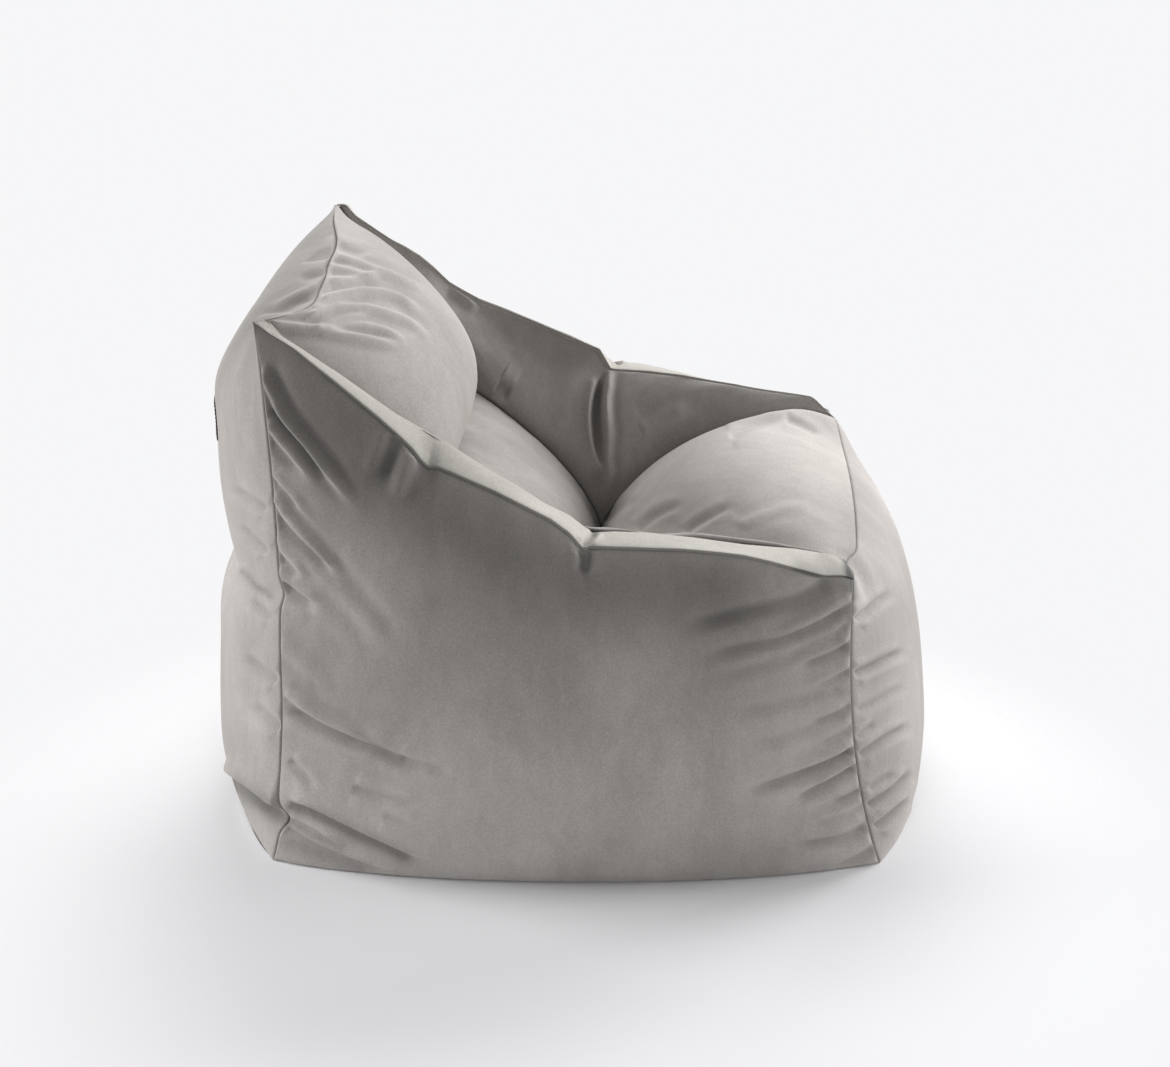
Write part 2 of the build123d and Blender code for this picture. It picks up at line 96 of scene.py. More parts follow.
# The arm strips' outer and inner edges in the photograph, from back to front, with sharp elbows and kinks.
# The far strip's outer edge is hidden behind its inner one, apart from a stretch at the elbow.
ARM_EDGES = {
    "right": (
        ((253, 323), (270, 333), (293, 348), (335, 381), (380, 418), (402, 438), (413, 449), (422, 461),
         (428, 467), (438, 467), (453, 473), (495, 491), (551, 519), (570, 533), (583, 548), (590, 546),
         (622, 547), (683, 549), (719, 552), (744, 555), (770, 561), (795, 568), (821, 575), (849, 580)),
        ((260, 324), (287, 341), (340, 374), (396, 413), (451, 444), (489, 469), (514, 483), (545, 503),
         (570, 515), (592, 532), (614, 531), (642, 532), (693, 537), (744, 544), (795, 548), (841, 555)),
    ),
    "left": (
        ((345, 206), (375, 236), (405, 254), (435, 275), (465, 298), (510, 318), (555, 335), (600, 351),
         (611, 362), (618, 361), (645, 364), (675, 371), (690, 376), (720, 387), (765, 396), (810, 405),
         (829, 411)),
        ((345, 205), (360, 218), (390, 238), (420, 256), (435, 268), (450, 282), (480, 299), (525, 317),
         (570, 336), (600, 349), (611, 368), (616, 369), (650, 371), (683, 375), (705, 379), (735, 384),
         (780, 394), (810, 401), (829, 411)),
    ),
}
SHIFT_FADE = 0.13  # share of a panel's height over which its edge's shift fades
SHIFT_ENDS = 0.035  # share of an arm's length over which the shift starts and ends

# Soft pushes that give the photographed outline: centre, how far, and how wide
PUSHES = (
    # The back, below its waist and between its shoulders
    ((0, 0.45, 0.275), (0, 0.012, 0), (0.42, 0.12, 0.055)),
    ((0, 0.42, 0.612), (0, -0.009, 0), (0.13, 0.10, 0.045)),
    # The top seam and its crests, from the far side to the near one
    ((0.22, 0.38, 0.690), (0, 0.016, 0.008), (0.12, 0.08, 0.060)),
    ((0.16, 0.325, 0.680), (0, 0.011, 0), (0.10, 0.035, 0.030)),
    ((0.317, 0.347, 0.675), (0, -0.012, -0.006), (0.02, 0.03, 0.020)),
    ((0.312, 0.328, 0.668), (0, 0, 0.005), (0.03, 0.012, 0.020)),
    ((-0.12, 0.310, 0.675), (0, -0.010, 0), (0.06, 0.05, 0.050)),
    ((-0.225, 0.310, 0.675), (0, -0.026, -0.007), (0.07, 0.05, 0.050)),
    ((-0.317, 0.347, 0.672), (0, 0.005, 0.001), (0.02, 0.04, 0.040)),
    # The front's top edge, the seat's far corner and its near one
    ((0, -0.42, 0.370), (0, -0.006, 0.004), (0.40, 0.06, 0.090)),
    ((0.25, -0.31, 0.370), (0, 0, 0.015), (0.05, 0.07, 0.050)),
    ((-0.271, -0.352, 0.372), (0, 0.012, 0), (0.025, 0.03, 0.030)),
)
# The same on both sides, given for the sitter's left: the shoulder, the waist's pinch, the tuck over the
# heel and the flap below it
SIDE_PUSHES = (
    ((0.18, 0.43, 0.555), (0, 0.011, 0), (0.10, 0.10, 0.050)),
    ((0.338, 0.327, 0.345), (0, -0.005, 0), (0.05, 0.05, 0.014)),
    ((0.363, 0.345, 0.057), (0, -0.014, 0), (0.06, 0.05, 0.014)),
    ((0.300, 0.375, 0.030), (0, -0.010, 0), (0.09, 0.06, 0.035)),
)

# Seams: each panel's edge rolls down into the groove between it and its neighbour
THREADS = 4  # threads that show for each thread that is simulated
SEAM_LINES = (0.05, 0.11, 0.19, 0.26)  # extra threads beside a seam, as shares of a coarse cell
SEAM_DEPTH, SEAM_ROLL = 0.0030, 0.0014  # how deep the groove is, and how wide each edge's roll is
SEAM_ROUND = 1.3  # how full the roll is
STRIP_SEAM_DEPTH = 0.0008  # the strip's edges stay up
TUCK_DEPTH, TUCK_REACH = 0.0045, 0.009  # the panels beside the strip run in under its edges
TUCK_ENDS = 0.05  # share of an arm's length over which that starts and ends
TUCKED_PANELS = ("outer_side", "inner_arm")
SEAM_GAP = 0.0004  # from the seam line to each panel at the bottom of the groove
SEAM_ALLOWANCE = 0.008  # cloth turned in behind the seam
CORNER_ALLOWANCE, CORNER_REACH = 0.12, 0.05  # what is left of it at a panel's corners, and how near to them
EDGE_THREADS = 3  # an edge's way into its panel is read over this many threads
LIP_FLOOR = 0.001  # the turned-in edge stays this far off the floor

# Folds, and light and shade painted into the pile's colour
FOLD_START = 0.008  # folds rise over this far from a seam
FOLD_ENDS = (0.10, 0.30)  # and over these shares of their length
FOLD_WIDTHS = 5  # half widths from its line at which a fold ends
FOLD_CUT, FOLD_CUTS = 0.25, 2  # share cut off each side of a fold's corners, and how many times
TUCK_SHARP = 0.25  # share of a tuck's half width over which it drops
TURN_FADE = 0.06  # folds end where the photograph looks along the surface
FOLD_PAINTED_SHADE, FOLD_PAINTED_SHADES = 40, (-0.40, 0.06)  # painted shade down in folds, and a little painted light on their ridges: for each metre, and at most
SEAM_PAINTED_SHADE, SEAM_PAINTED_SHADE_REACH = 0.35, 0.002  # and painted shade beside the seams
NEAR_ARM_CLEAR = 0.09  # the near arm's inner folds start this far from its strip

# Cloth simulation
CLOTH_RULES = {
    "quality": 5, "mass": 0.1, "tension_stiffness": 15, "compression_stiffness": 5, "shear_stiffness": 5,
    "bending_stiffness": 0.8, "air_damping": 2, "use_pressure": True, "uniform_pressure_force": 2.0,
}
SLACK, SLACK_REACH = 0.02, 0.07  # extra cloth gathered in the seams, and how far it reaches
HOLD = 0.12  # how firmly the beads keep the shape
CLOTH_FRAMES = 18
CLOTH_REACH = 0.014  # the furthest that a point may move
CALM_ROUNDS = 10  # of smoothing, because thick velvet takes no fine ripples
STRIP_SHARE = 0.3  # of that movement left to the strips, which are stitched flat
START_JITTER, JITTER_SEED = 0.0006, 4


# Camera

def camera_axes():
    """Right, up and forward of the camera."""
    pitch, yaw, roll = (math.radians(a) for a in (CAMERA_PITCH, CAMERA_YAW, CAMERA_ROLL))
    forward = np.array((math.cos(pitch) * math.cos(yaw), math.cos(pitch) * math.sin(yaw), -math.sin(pitch)))
    right = unit(np.cross(forward, (0, 0, 1)))
    up = np.cross(right, forward)
    c, s = math.cos(roll), math.sin(roll)
    return c * right + s * up, c * up - s * right, forward


def pixels(points):
    """Where points fall in the photograph."""
    right, up, forward = camera_axes()
    ray = points - CAMERA_PLACE
    depth = ray @ forward
    x = PHOTO_WIDTH / 2 + CAMERA_FOCAL_PX * (ray @ right) / depth
    y = PHOTO_HEIGHT / 2 - CAMERA_FOCAL_PX * (ray @ up) / depth
    return np.stack([x, y], -1)


def linked(name, data):
    """A new object in the scene."""
    thing = bpy.data.objects.new(name, data)
    bpy.context.scene.collection.objects.link(thing)
    return thing


def make_camera():
    right, up, forward = camera_axes()
    data = bpy.data.cameras.new("camera")
    data.sensor_width = SENSOR_WIDTH
    data.lens = CAMERA_FOCAL_PX / PHOTO_WIDTH * SENSOR_WIDTH
    camera = linked("camera", data)
    turn = Matrix([list(row) for row in np.stack([right, up, -forward], 1)]).to_4x4()
    camera.matrix_world = Matrix.Translation(CAMERA_PLACE) @ turn
    bpy.context.scene.camera = camera


# Bezier curves and nets, as arrays of control points

def raised(points):
    """The same curve with DEGREE + 1 control points."""
    points = np.array(points, float)
    while len(points) <= DEGREE:
        share = (np.arange(1, len(points)) / len(points))[:, None]
        points = np.vstack([points[:1], points[:-1] * share + points[1:] * (1 - share), points[-1:]])
    return points


def bowed(start, end, bow):
    line = raised([start, end])
    line[1:-1] += bow
    return line


def basis(t):
    t = np.asarray(t, float)
    return np.stack([math.comb(DEGREE, i) * t**i * (1 - t)**(DEGREE - i) for i in range(DEGREE + 1)], -1)


def smooth(t):
    t = np.clip(t, 0, 1)
    return t * t * (3 - 2 * t)


def lengths(vectors):
    return np.linalg.norm(vectors, axis=-1)


def unit(vectors):
    return vectors / np.maximum(lengths(vectors), TINY)[..., None]


def piece_of(points, start, end):
    """The stretch of a curve from start to end, as a curve of its own."""
    whole, part = (basis(np.linspace(*ends, DEGREE + 1)) for ends in ((0, 1), (start, end)))
    return np.linalg.solve(whole, part @ points)


def coons(low, high, left, right):
    """A grid of points between four edges of points."""
    u = np.linspace(0, 1, len(low))[:, None, None]
    v = np.linspace(0, 1, len(left))[None, :, None]
    corners = (low[0] * (1 - u) + low[-1] * u) * (1 - v) + (high[0] * (1 - u) + high[-1] * u) * v
    return low[:, None] * (1 - v) + high[:, None] * v + left[None] * (1 - u) + right[None] * u - corners


def crowned(net, low, high=None):
    """The net with its inner points moved by low at one edge, and by high at the other."""
    high = low if high is None else high
    share = np.linspace(0, 1, DEGREE - 1)[None, :, None]
    net = net.copy()
    net[1:-1, 1:-1] += np.array(low) * (1 - share) + np.array(high) * share
    return net


# Seams and panels

def on_side(sign, place):
    return np.array((sign * place[0], place[1], place[2]))


def pulled(sign, start, pulls, end):
    """A seam on one side, between two corners."""
    return raised([start, *[on_side(sign, p) for p in pulls], end])


def side_seams(sign):
    heel, toe, crest, tip = (on_side(sign, p) for p in (HEEL, TOE, CREST, TIP))
    return {
        "heel": heel, "toe": toe, "crest": crest, "tip": tip,
        "back": pulled(sign, heel, BACK_PULLS, crest),
        "front": pulled(sign, toe, FRONT_PULLS, tip),
        "bottom": bowed(heel, toe, (sign * SIDE_BOTTOM_BOW, 0, 0)),
        "arm_out": pulled(sign, crest, ARM_PULLS, tip),
    }


def add_arm_seams(seams, sign, crest_in, tip_in):
    lumbar, crook = on_side(sign, LUMBAR_END), on_side(sign, CROOK_END)
    seams["lumbar"], seams["crook"] = lumbar, crook
    seams["arm_in"] = pulled(sign, crest_in, [(x - STRIP_WIDTH, y, z) for x, y, z in ARM_PULLS], tip_in)
    seams["rest"] = pulled(sign, crest_in, REST_PULLS, lumbar)
    seams["lumbar_side"] = pulled(sign, lumbar, LUMBAR_PULLS, crook)
    seams["root"] = pulled(sign, crook, ROOT_PULLS, tip_in)


right_seams, left_seams = side_seams(-1), side_seams(1)
back_top = bowed(right_seams["crest"], left_seams["crest"], BACK_TOP_BOW)
back_bottom = bowed(right_seams["heel"], left_seams["heel"], BACK_BOTTOM_BOW)
front_top = bowed(right_seams["tip"], left_seams["tip"], FRONT_TOP_BOW)
front_bottom = bowed(right_seams["toe"], left_seams["toe"], FRONT_BOTTOM_BOW)
waist_line = bowed(*[basis(WAIST) @ s["back"] for s in (right_seams, left_seams)], WAIST_BOW)
rest_top = piece_of(back_top, BACK_SHARE, 1 - BACK_SHARE)
seat_front = piece_of(front_top, FRONT_SHARE, 1 - FRONT_SHARE)
add_arm_seams(right_seams, -1, rest_top[0], seat_front[0])
add_arm_seams(left_seams, 1, rest_top[-1], seat_front[-1])


def strip_end(top, share, sign):
    """The end of a strip on the back's or the front's top edge, from the side inwards."""
    return piece_of(top, 0, share) if sign < 0 else piece_of(top, 1 - share, 1)[::-1]


def panel_nets():
    nets = {}
    for (name, sign), s in zip(SIDES, (right_seams, left_seams)):
        ends = strip_end(back_top, BACK_SHARE, sign), strip_end(front_top, FRONT_SHARE, sign)
        side = coons(s["bottom"], s["arm_out"], s["back"], s["front"])
        arm = coons(s["lumbar_side"], s["arm_in"], s["rest"][::-1], s["root"])
        crown, hollow = (-sign * INNER_ARM_CROWN, 0, 0), (sign * INNER_ARM_HOLLOW, 0, 0)
        nets["outer_side_panel_" + name] = crowned(side, (sign * SIDE_CROWN, 0, 0))
        nets["arm_strip_" + name] = crowned(coons(s["arm_out"], s["arm_in"], *ends), (0, 0, STRIP_CROWN))
        nets["inner_arm_panel_" + name] = crowned(arm, crown, hollow)
    r, l = right_seams, left_seams
    lumbar_line, crook_line = raised([r["lumbar"], l["lumbar"]]), raised([r["crook"], l["crook"]])
    rest = coons(lumbar_line, rest_top, r["rest"][::-1], l["rest"][::-1])
    lumbar = coons(crook_line, lumbar_line, r["lumbar_side"][::-1], l["lumbar_side"][::-1])
    nets["backrest_panel"] = crowned(rest, BACKREST_CROWN)
    nets["lumbar_panel"] = crowned(lumbar, LUMBAR_CROWN)
    nets["seat_panel"] = crowned(coons(crook_line, seat_front, r["root"], l["root"]), SEAT_CROWN)
    front = coons(front_bottom, front_top, r["front"], l["front"])
    nets["front_panel"] = crowned(front, FRONT_CROWN_LOW, FRONT_CROWN_HIGH)
    lower = coons(back_bottom, waist_line, *[piece_of(s["back"], 0, WAIST) for s in (r, l)])
    upper = coons(waist_line, back_top, *[piece_of(s["back"], WAIST, 1) for s in (r, l)])
    nets["back_lower"] = crowned(lower, BACK_LOWER_CROWN)
    nets["back_upper"] = crowned(upper, BACK_UPPER_CROWN_LOW, BACK_UPPER_CROWN_HIGH)
    return nets


def even(start, end, count):
    return np.linspace(start, end, count + 1)


def joined(*runs):
    return np.concatenate([runs[0]] + [run[1:] for run in runs[1:]])


def panel_lines():
    """Shares of each panel's two directions at which the coarse cloth has its threads."""
    arm, strip, rest, across, height = (
        round(run / CELL) for run in (ARM_RUN, STRIP_RUN, REST_RUN, SEAT_RUN, BACK_RUN)
    )
    low = round(height * WAIST)
    heights = joined(even(0, WAIST, low), even(WAIST, 1, height - low))
    back, front = (
        joined(even(0, share, strip), even(share, 1 - share, across), even(1 - share, 1, strip))
        for share in (BACK_SHARE, FRONT_SHARE)
    )
    lines = {"back_panel": (back, heights), "front_panel": (front, heights)}
    for name, _ in SIDES:
        lines["outer_side_panel_" + name] = (even(0, 1, arm), heights)
        lines["arm_strip_" + name] = (even(0, 1, arm), even(0, 1, strip))
        lines["inner_arm_panel_" + name] = (even(0, 1, arm), even(0, 1, rest))
    lines["backrest_panel"] = (even(0, 1, across), even(0, 1, rest))
    lines["lumbar_panel"] = (even(0, 1, across), even(0, 1, arm))
    lines["seat_panel"] = (even(0, 1, across), even(0, 1, rest))
    return lines


def on_grid(across, along, values):
    """What a grid of values gives at other places, by a matrix for each of its directions."""
    return along @ np.tensordot(across, values, 1)


def on_net(net, u, v):
    return on_grid(basis(u), basis(v), net)


def edge_shift(seam, u, edge):
    """How far up a seam moves to lie where the photograph shows it."""
    step = 0.001
    at = basis(u) @ seam
    spot = pixels(at)
    rise = (pixels(at + (0, 0, step)) - spot)[:, 1] / step
    seen = np.interp(spot[:, 0], *np.transpose(edge))
    return (seen - spot[:, 1]) / rise * smooth(u / SHIFT_ENDS) * smooth((1 - u) / SHIFT_ENDS)


def arm_shift(name, u, v):
    """How far the photographed arm edges lift the points of a panel beside them."""
    side = name.rsplit("_", 1)[-1]
    seams = right_seams if side == "right" else left_seams
    outer, inner = (edge_shift(seams[seam], u, edge)[:, None]
                    for seam, edge in zip(("arm_out", "arm_in"), ARM_EDGES[side]))
    if name.startswith("arm_strip"):
        return outer * (1 - v) + inner * v
    return (outer if name.startswith("outer") else inner) * np.exp((v - 1) / SHIFT_FADE)


def pushed(points):
    both = [[on_side(sign, centre), on_side(sign, push), reach]
            for centre, push, reach in SIDE_PUSHES for _, sign in SIDES]
    moved = points.copy()
    for centre, push, reach in (*PUSHES, *both):
        near = np.exp(-(((points - centre) / reach)**2).sum(-1, keepdims=True))
        moved += np.array(push) * near
    return moved


def panel_points(nets, name, u, v):
    if name == "back_panel":
        low = v <= WAIST + TINY
        return pushed(np.concatenate([
            on_net(nets["back_lower"], u, v[low] / WAIST),
            on_net(nets["back_upper"], u, (v[~low] - WAIST) / (1 - WAIST)),
        ], 1))
    points = on_net(nets[name], u, v)
    if name.endswith(("_right", "_left")):
        points[..., 2] += arm_shift(name, u, v)
    return pushed(points)


def border(indices):
    return np.concatenate([indices[0], indices[-1], indices[1:-1, 0], indices[1:-1, -1]])


def borders(indices):
    return np.concatenate([border(i) for i in indices.values()])


def tree_of(points, members):
    """What finds the nearest of some of the points."""
    tree = kdtree.KDTree(len(members))
    for i in members:
        tree.insert(points[i], int(i))
    tree.balance()
    return tree


def split(values, grids):
    """A list of values cut up into the shapes of the grids that it was joined from."""
    starts = np.cumsum([0] + [g.shape[0] * g.shape[1] for g in grids.values()])
    return {n: values[a:b].reshape(g.shape[:2]) for (n, g), a, b in zip(grids.items(), starts, starts[1:])}


def welded(grids):
    """All panels' points in one list, with one point where panels meet, and each panel's indices into it."""
    points = np.concatenate([g.reshape(-1, 3) for g in grids.values()])
    edges = borders(split(np.arange(len(points)), grids))
    tree = tree_of(points, edges)
    first = np.arange(len(points))
    for i in edges:
        first[i] = min(hit[1] for hit in tree.find_range(points[i], WELD))
    kept, inverse = np.unique(first, return_inverse=True)
    return points[kept], split(inverse, grids)


def quads(indices):
    corners = (indices[:-1, :-1], indices[1:, :-1], indices[1:, 1:], indices[:-1, 1:])
    return np.stack(corners, -1).reshape(-1, 4)


def normals_of(points, faces):
    """A unit normal at each point."""
    a, b, c, d = (points[faces[:, i]] for i in range(4))
    across = np.cross(c - a, d - b)
    total = np.zeros_like(points)
    for i in range(4):
        np.add.at(total, faces[:, i], across)
    return unit(total)


# Cloth

def cover_faces(indices):
    """The faces of each panel, all facing out."""
    return {n: quads(i)[:, ::-1] if n in TURNED_PANELS else quads(i) for n, i in indices.items()}


def seam_distance(points, indices):
    """How far each point is from the nearest seam."""
    tree = tree_of(points, np.unique(borders(indices)))
    return np.array([tree.find(p)[2] for p in points])


def mesh_object(name, points, faces):
    mesh = bpy.data.meshes.new(name)
    mesh.from_pydata(np.asarray(points).tolist(), [], [list(map(int, f)) for f in faces])
    mesh.update()
    return linked(name, mesh)


def weight_group(thing, name, weights):
    group = thing.vertex_groups.new(name=name)
    for i, weight in enumerate(weights):
        group.add([i], float(weight), "REPLACE")
    return name


def calmed(shift, faces, free):
    """Movements of points without their fine ripples."""
    for _ in range(CALM_ROUNDS):
        total, count = np.zeros_like(shift), np.zeros((len(shift), 1))
        for i in range(4):
            np.add.at(total, faces[:, i], shift[faces[:, i - 1]])
            np.add.at(count, faces[:, i], 1)
        shift = (shift + total / count) / 2 * free
    return shift


def settled(points, faces, far):
    """How the cover moves as the beads press it out. Its seams stay, and cloth gathered in them puckers."""
    free = far > WELD
    jitter = np.random.default_rng(JITTER_SEED).normal(size=len(points)) * START_JITTER * free
    cover = mesh_object("cover_cloth", points + normals_of(points, faces) * jitter[:, None], faces)
    cloth = cover.modifiers.new("cloth", "CLOTH")
    rules = cloth.settings
    for rule, value in CLOTH_RULES.items():
        setattr(rules, rule, value)
    rules.effector_weights.gravity = 0
    rules.vertex_group_mass = weight_group(cover, "held", np.where(free, HOLD, 1))
    rules.vertex_group_shrink = weight_group(cover, "tight", 1 - np.exp(-(far / SLACK_REACH)**2))
    rules.shrink_min = -SLACK
    rules.shrink_max = 0
    cloth.collision_settings.use_collision = False
    for step in range(1, CLOTH_FRAMES + 1):
        bpy.context.scene.frame_set(step)
    shaped = cover.evaluated_get(bpy.context.evaluated_depsgraph_get()).data
    moved = np.zeros(len(points) * 3)
    shaped.vertices.foreach_get("co", moved)
    bpy.data.objects.remove(cover)
    bpy.context.scene.frame_set(1)
    shift = moved.reshape(-1, 3) - points
    shift = unit(shift) * np.minimum(lengths(shift), CLOTH_REACH)[:, None]
    return calmed(shift, faces, free[:, None])


# Threads of the cloth that shows

def finer(shares):
    """Several threads for each coarse one, and more beside the seams."""
    near = np.array(SEAM_LINES)
    first, last = shares[1] - shares[0], shares[-1] - shares[-2]
    between = [shares[:-1] + np.diff(shares) * k / THREADS for k in range(1, THREADS)]
    return np.sort(np.concatenate([shares, *between, shares[0] + first * near, shares[-1] - last * near]))


def spread(coarse, fine):
    """The matrix that reads values known at coarse places at fine ones, on a smooth curve."""
    one = np.eye(len(coarse))
    slope = np.gradient(one, coarse, axis=0)
    at = np.clip(np.searchsorted(coarse, fine, side="right") - 1, 0, len(coarse) - 2)
    step = (coarse[at + 1] - coarse[at])[:, None]
    t = ((fine - coarse[at])[:, None]) / step
    start = (1 + 2 * t) * (1 - t)**2 * one[at] + t * (1 - t)**2 * step * slope[at]
    end = t * t * (3 - 2 * t) * one[at + 1] + t * t * (t - 1) * step * slope[at + 1]
    return start + end


# Folds, as strokes in the photograph: height in metres, half width in pixels, and points along the fold.
# A height below zero is a valley.

SIDE_FOLDS = (
    # A fan from the crest and down the back seam
    (0.008, 6, (260, 363), (268, 381), (279, 402), (288, 419), (303, 438), (316, 454), (331, 471),
     (362, 512)),
    (-0.005, 5, (265, 407), (279, 421), (292, 436), (306, 451), (320, 472), (325, 490)),
    (0.005, 5, (267, 421), (277, 432), (288, 445), (301, 461), (314, 478)),
    (-0.003, 5, (268, 441), (283, 458), (297, 473)),
    (0.003, 5, (269, 467), (284, 487), (300, 503), (316, 520)),
    (-0.004, 5, (270, 476), (286, 493), (300, 509)),
    (0.005, 5, (271, 492), (284, 507), (301, 528), (316, 545), (334, 565), (349, 582)),
    (-0.005, 5, (272, 513), (284, 528), (296, 540), (316, 556), (335, 575)),
    (0.004, 5, (271, 532), (283, 545), (297, 560), (312, 575)),
    (-0.004, 5, (272, 551), (285, 565), (300, 580)),
    (-0.007, 6, (269, 576), (285, 588), (303, 601), (318, 610)),
    (0.003, 8, (276, 640), (305, 665), (340, 690)),
    (0.005, 5, (283, 689), (303, 701), (326, 716), (357, 731), (378, 744)),
    (-0.007, 6, (285, 707), (307, 720), (326, 731), (357, 744), (378, 749), (430, 773)),
    (-0.003, 5, (289, 759), (307, 777), (320, 788)),
    (-0.003, 6, (398, 757), (425, 766), (455, 773)),
    (-0.003, 6, (352, 787), (390, 799), (425, 806)),
    (-0.002, 6, (385, 813), (418, 827)),
    (-0.002, 9, (300, 572), (340, 612), (378, 650)),
    (-0.002, 9, (330, 556), (368, 600), (405, 645)),
    # Below the strip
    (-0.005, 8, (397, 435), (388, 458), (380, 482)),
    (0.004, 9, (412, 452), (404, 478), (392, 500)),
    (-0.004, 6, (584, 548), (586, 560), (582, 574)),
    # From the front seam
    (-0.007, 9, (838, 579), (814, 594), (789, 605), (740, 614), (669, 633)),
    (0.005, 6, (856, 594), (829, 605), (796, 623), (762, 638)),
    (-0.006, 7, (853, 608), (829, 620), (803, 632), (773, 643), (740, 649), (690, 660)),
    (-0.003, 4, (852, 618), (838, 632), (829, 636)),
    (0.004, 5, (853, 633), (825, 647), (785, 665)),
    (-0.005, 6, (851, 646), (825, 658), (796, 665)),
    (0.003, 5, (853, 660), (829, 672), (796, 685)),
    (-0.003, 5, (851, 671), (829, 681), (812, 689)),
    (-0.003, 7, (845, 688), (794, 703), (720, 717)),
    (-0.003, 7, (848, 713), (800, 733), (742, 750)),
    (-0.003, 8, (842, 634), (780, 660), (700, 683)),
    (-0.004, 5, (855, 704), (834, 717), (807, 723)),
    (-0.003, 5, (854, 727), (829, 741), (814, 746)),
    (0.004, 5, (856, 740), (829, 755), (785, 770)),
    (-0.007, 6, (858, 747), (834, 761), (811, 770), (773, 784), (740, 793)),
    (0.004, 4, (858, 756), (836, 770), (807, 784)),
    (-0.007, 6, (859, 765), (836, 777), (814, 790), (791, 801)),
    (-0.004, 4, (863, 789), (845, 799), (830, 801)),
    (0.003, 5, (864, 796), (841, 808), (807, 819)),
    (-0.006, 6, (869, 825), (847, 837), (818, 842), (790, 846)),
    (-0.005, 6, (877, 847), (856, 860), (829, 871)),
)
SIDE_TUCKS = (
    (0.009, 9, (287, 799), (313, 806), (337, 817), (361, 829), (389, 842), (414, 855), (440, 864)),
    (0.005, 6, (287, 815), (313, 827), (337, 840), (350, 847)),
    (0.006, 7, (280, 820), (309, 840), (335, 850), (368, 863), (396, 872)),
    (0.003, 5, (276, 858), (298, 866), (326, 872)),
)
FRONT_FOLDS = (
    (-0.005, 5, (854, 621), (868, 610), (890, 591)),
    (-0.006, 5, (853, 675), (879, 663), (905, 649)),
    (-0.003, 5, (856, 712), (879, 701), (903, 684)),
    (-0.003, 4, (856, 739), (874, 723)),
    (-0.006, 5, (858, 757), (883, 739), (910, 724)),
    (-0.003, 4, (868, 790), (892, 772)),
    (-0.007, 5, (867, 807), (892, 790), (910, 769)),
    (-0.007, 5, (874, 828), (896, 808), (907, 796)),
)
BACK_FOLDS = (
    (-0.005, 4, (333, 236), (323, 240), (312, 246)),
    (-0.003, 4, (331, 255), (302, 261)),
    (-0.003, 4, (327, 273), (299, 279)),
    (0.003, 4, (321, 284), (290, 300), (267, 314)),
    (-0.002, 4, (313, 297), (287, 306), (261, 317)),
    (0.003, 4, (304, 319), (275, 316), (254, 322)),
    (-0.004, 5, (268, 511), (248, 498), (231, 486)),
    (-0.004, 5, (269, 553), (254, 538), (240, 524)),
    (-0.004, 5, (272, 619), (260, 608), (250, 599)),
    (-0.004, 6, (278, 682), (260, 668), (244, 655)),
    (-0.004, 6, (282, 730), (266, 715), (253, 703)),
)
BACK_TUCKS = (
    (0.011, 9, (222, 765), (228, 769), (248, 783), (270, 801), (292, 816)),
    (0.006, 5, (241, 566), (255, 582), (270, 595)),
)
BACKREST_FOLDS = (
    (-0.003, 4, (331, 239), (351, 251), (372, 252)),
    (0.004, 4, (331, 254), (351, 261), (369, 267), (405, 282), (430, 293)),
    (0.004, 4, (329, 266), (351, 270), (369, 276), (386, 275)),
    (0.003, 4, (327, 279), (351, 279), (383, 276)),
    (0.005, 4, (315, 301), (339, 293), (363, 291), (387, 294), (408, 303), (425, 318)),
    (0.003, 4, (312, 307), (339, 299), (365, 296)),
    (0.004, 4, (302, 319), (330, 306), (351, 306), (381, 312), (411, 322), (434, 346)),
    (0.003, 4, (309, 329), (342, 318), (371, 314)),
    (0.006, 5, (257, 322), (299, 328), (320, 331), (351, 338), (381, 343), (410, 345)),
    (0.004, 4, (320, 329), (351, 325), (372, 328), (393, 334), (410, 345)),
)
ARM_FOLDS = (
    (0.006, 5, (612, 368), (606, 395), (607, 416), (609, 434), (607, 456), (610, 478), (602, 505)),
    (-0.005, 5, (603, 378), (598, 400), (597, 424), (601, 455)),
    (-0.005, 9, (496, 385), (512, 394)),
    (0.004, 7, (452, 284), (468, 298), (478, 314)),
    (0.003, 10, (640, 430), (668, 420), (690, 402)),
)
ARM_TUCKS = (
    (0.007, 7, (606, 472), (594, 449), (590, 423), (592, 398), (605, 368)),
)
SEAT_FOLDS = (
    (-0.002, 5, (604, 523), (620, 509), (640, 498)),
    (-0.003, 5, (637, 533), (653, 517), (685, 502)),
    (-0.003, 5, (684, 536), (697, 525), (735, 503)),
    (-0.003, 5, (729, 438), (753, 426), (785, 418)),
    (-0.003, 4, (785, 420), (805, 427), (823, 438)),
    (0.002, 6, (737, 529), (781, 509), (815, 503)),
)
STRIP_FOLDS = (
    (-0.005, 4, (584, 546), (598, 529)),
)
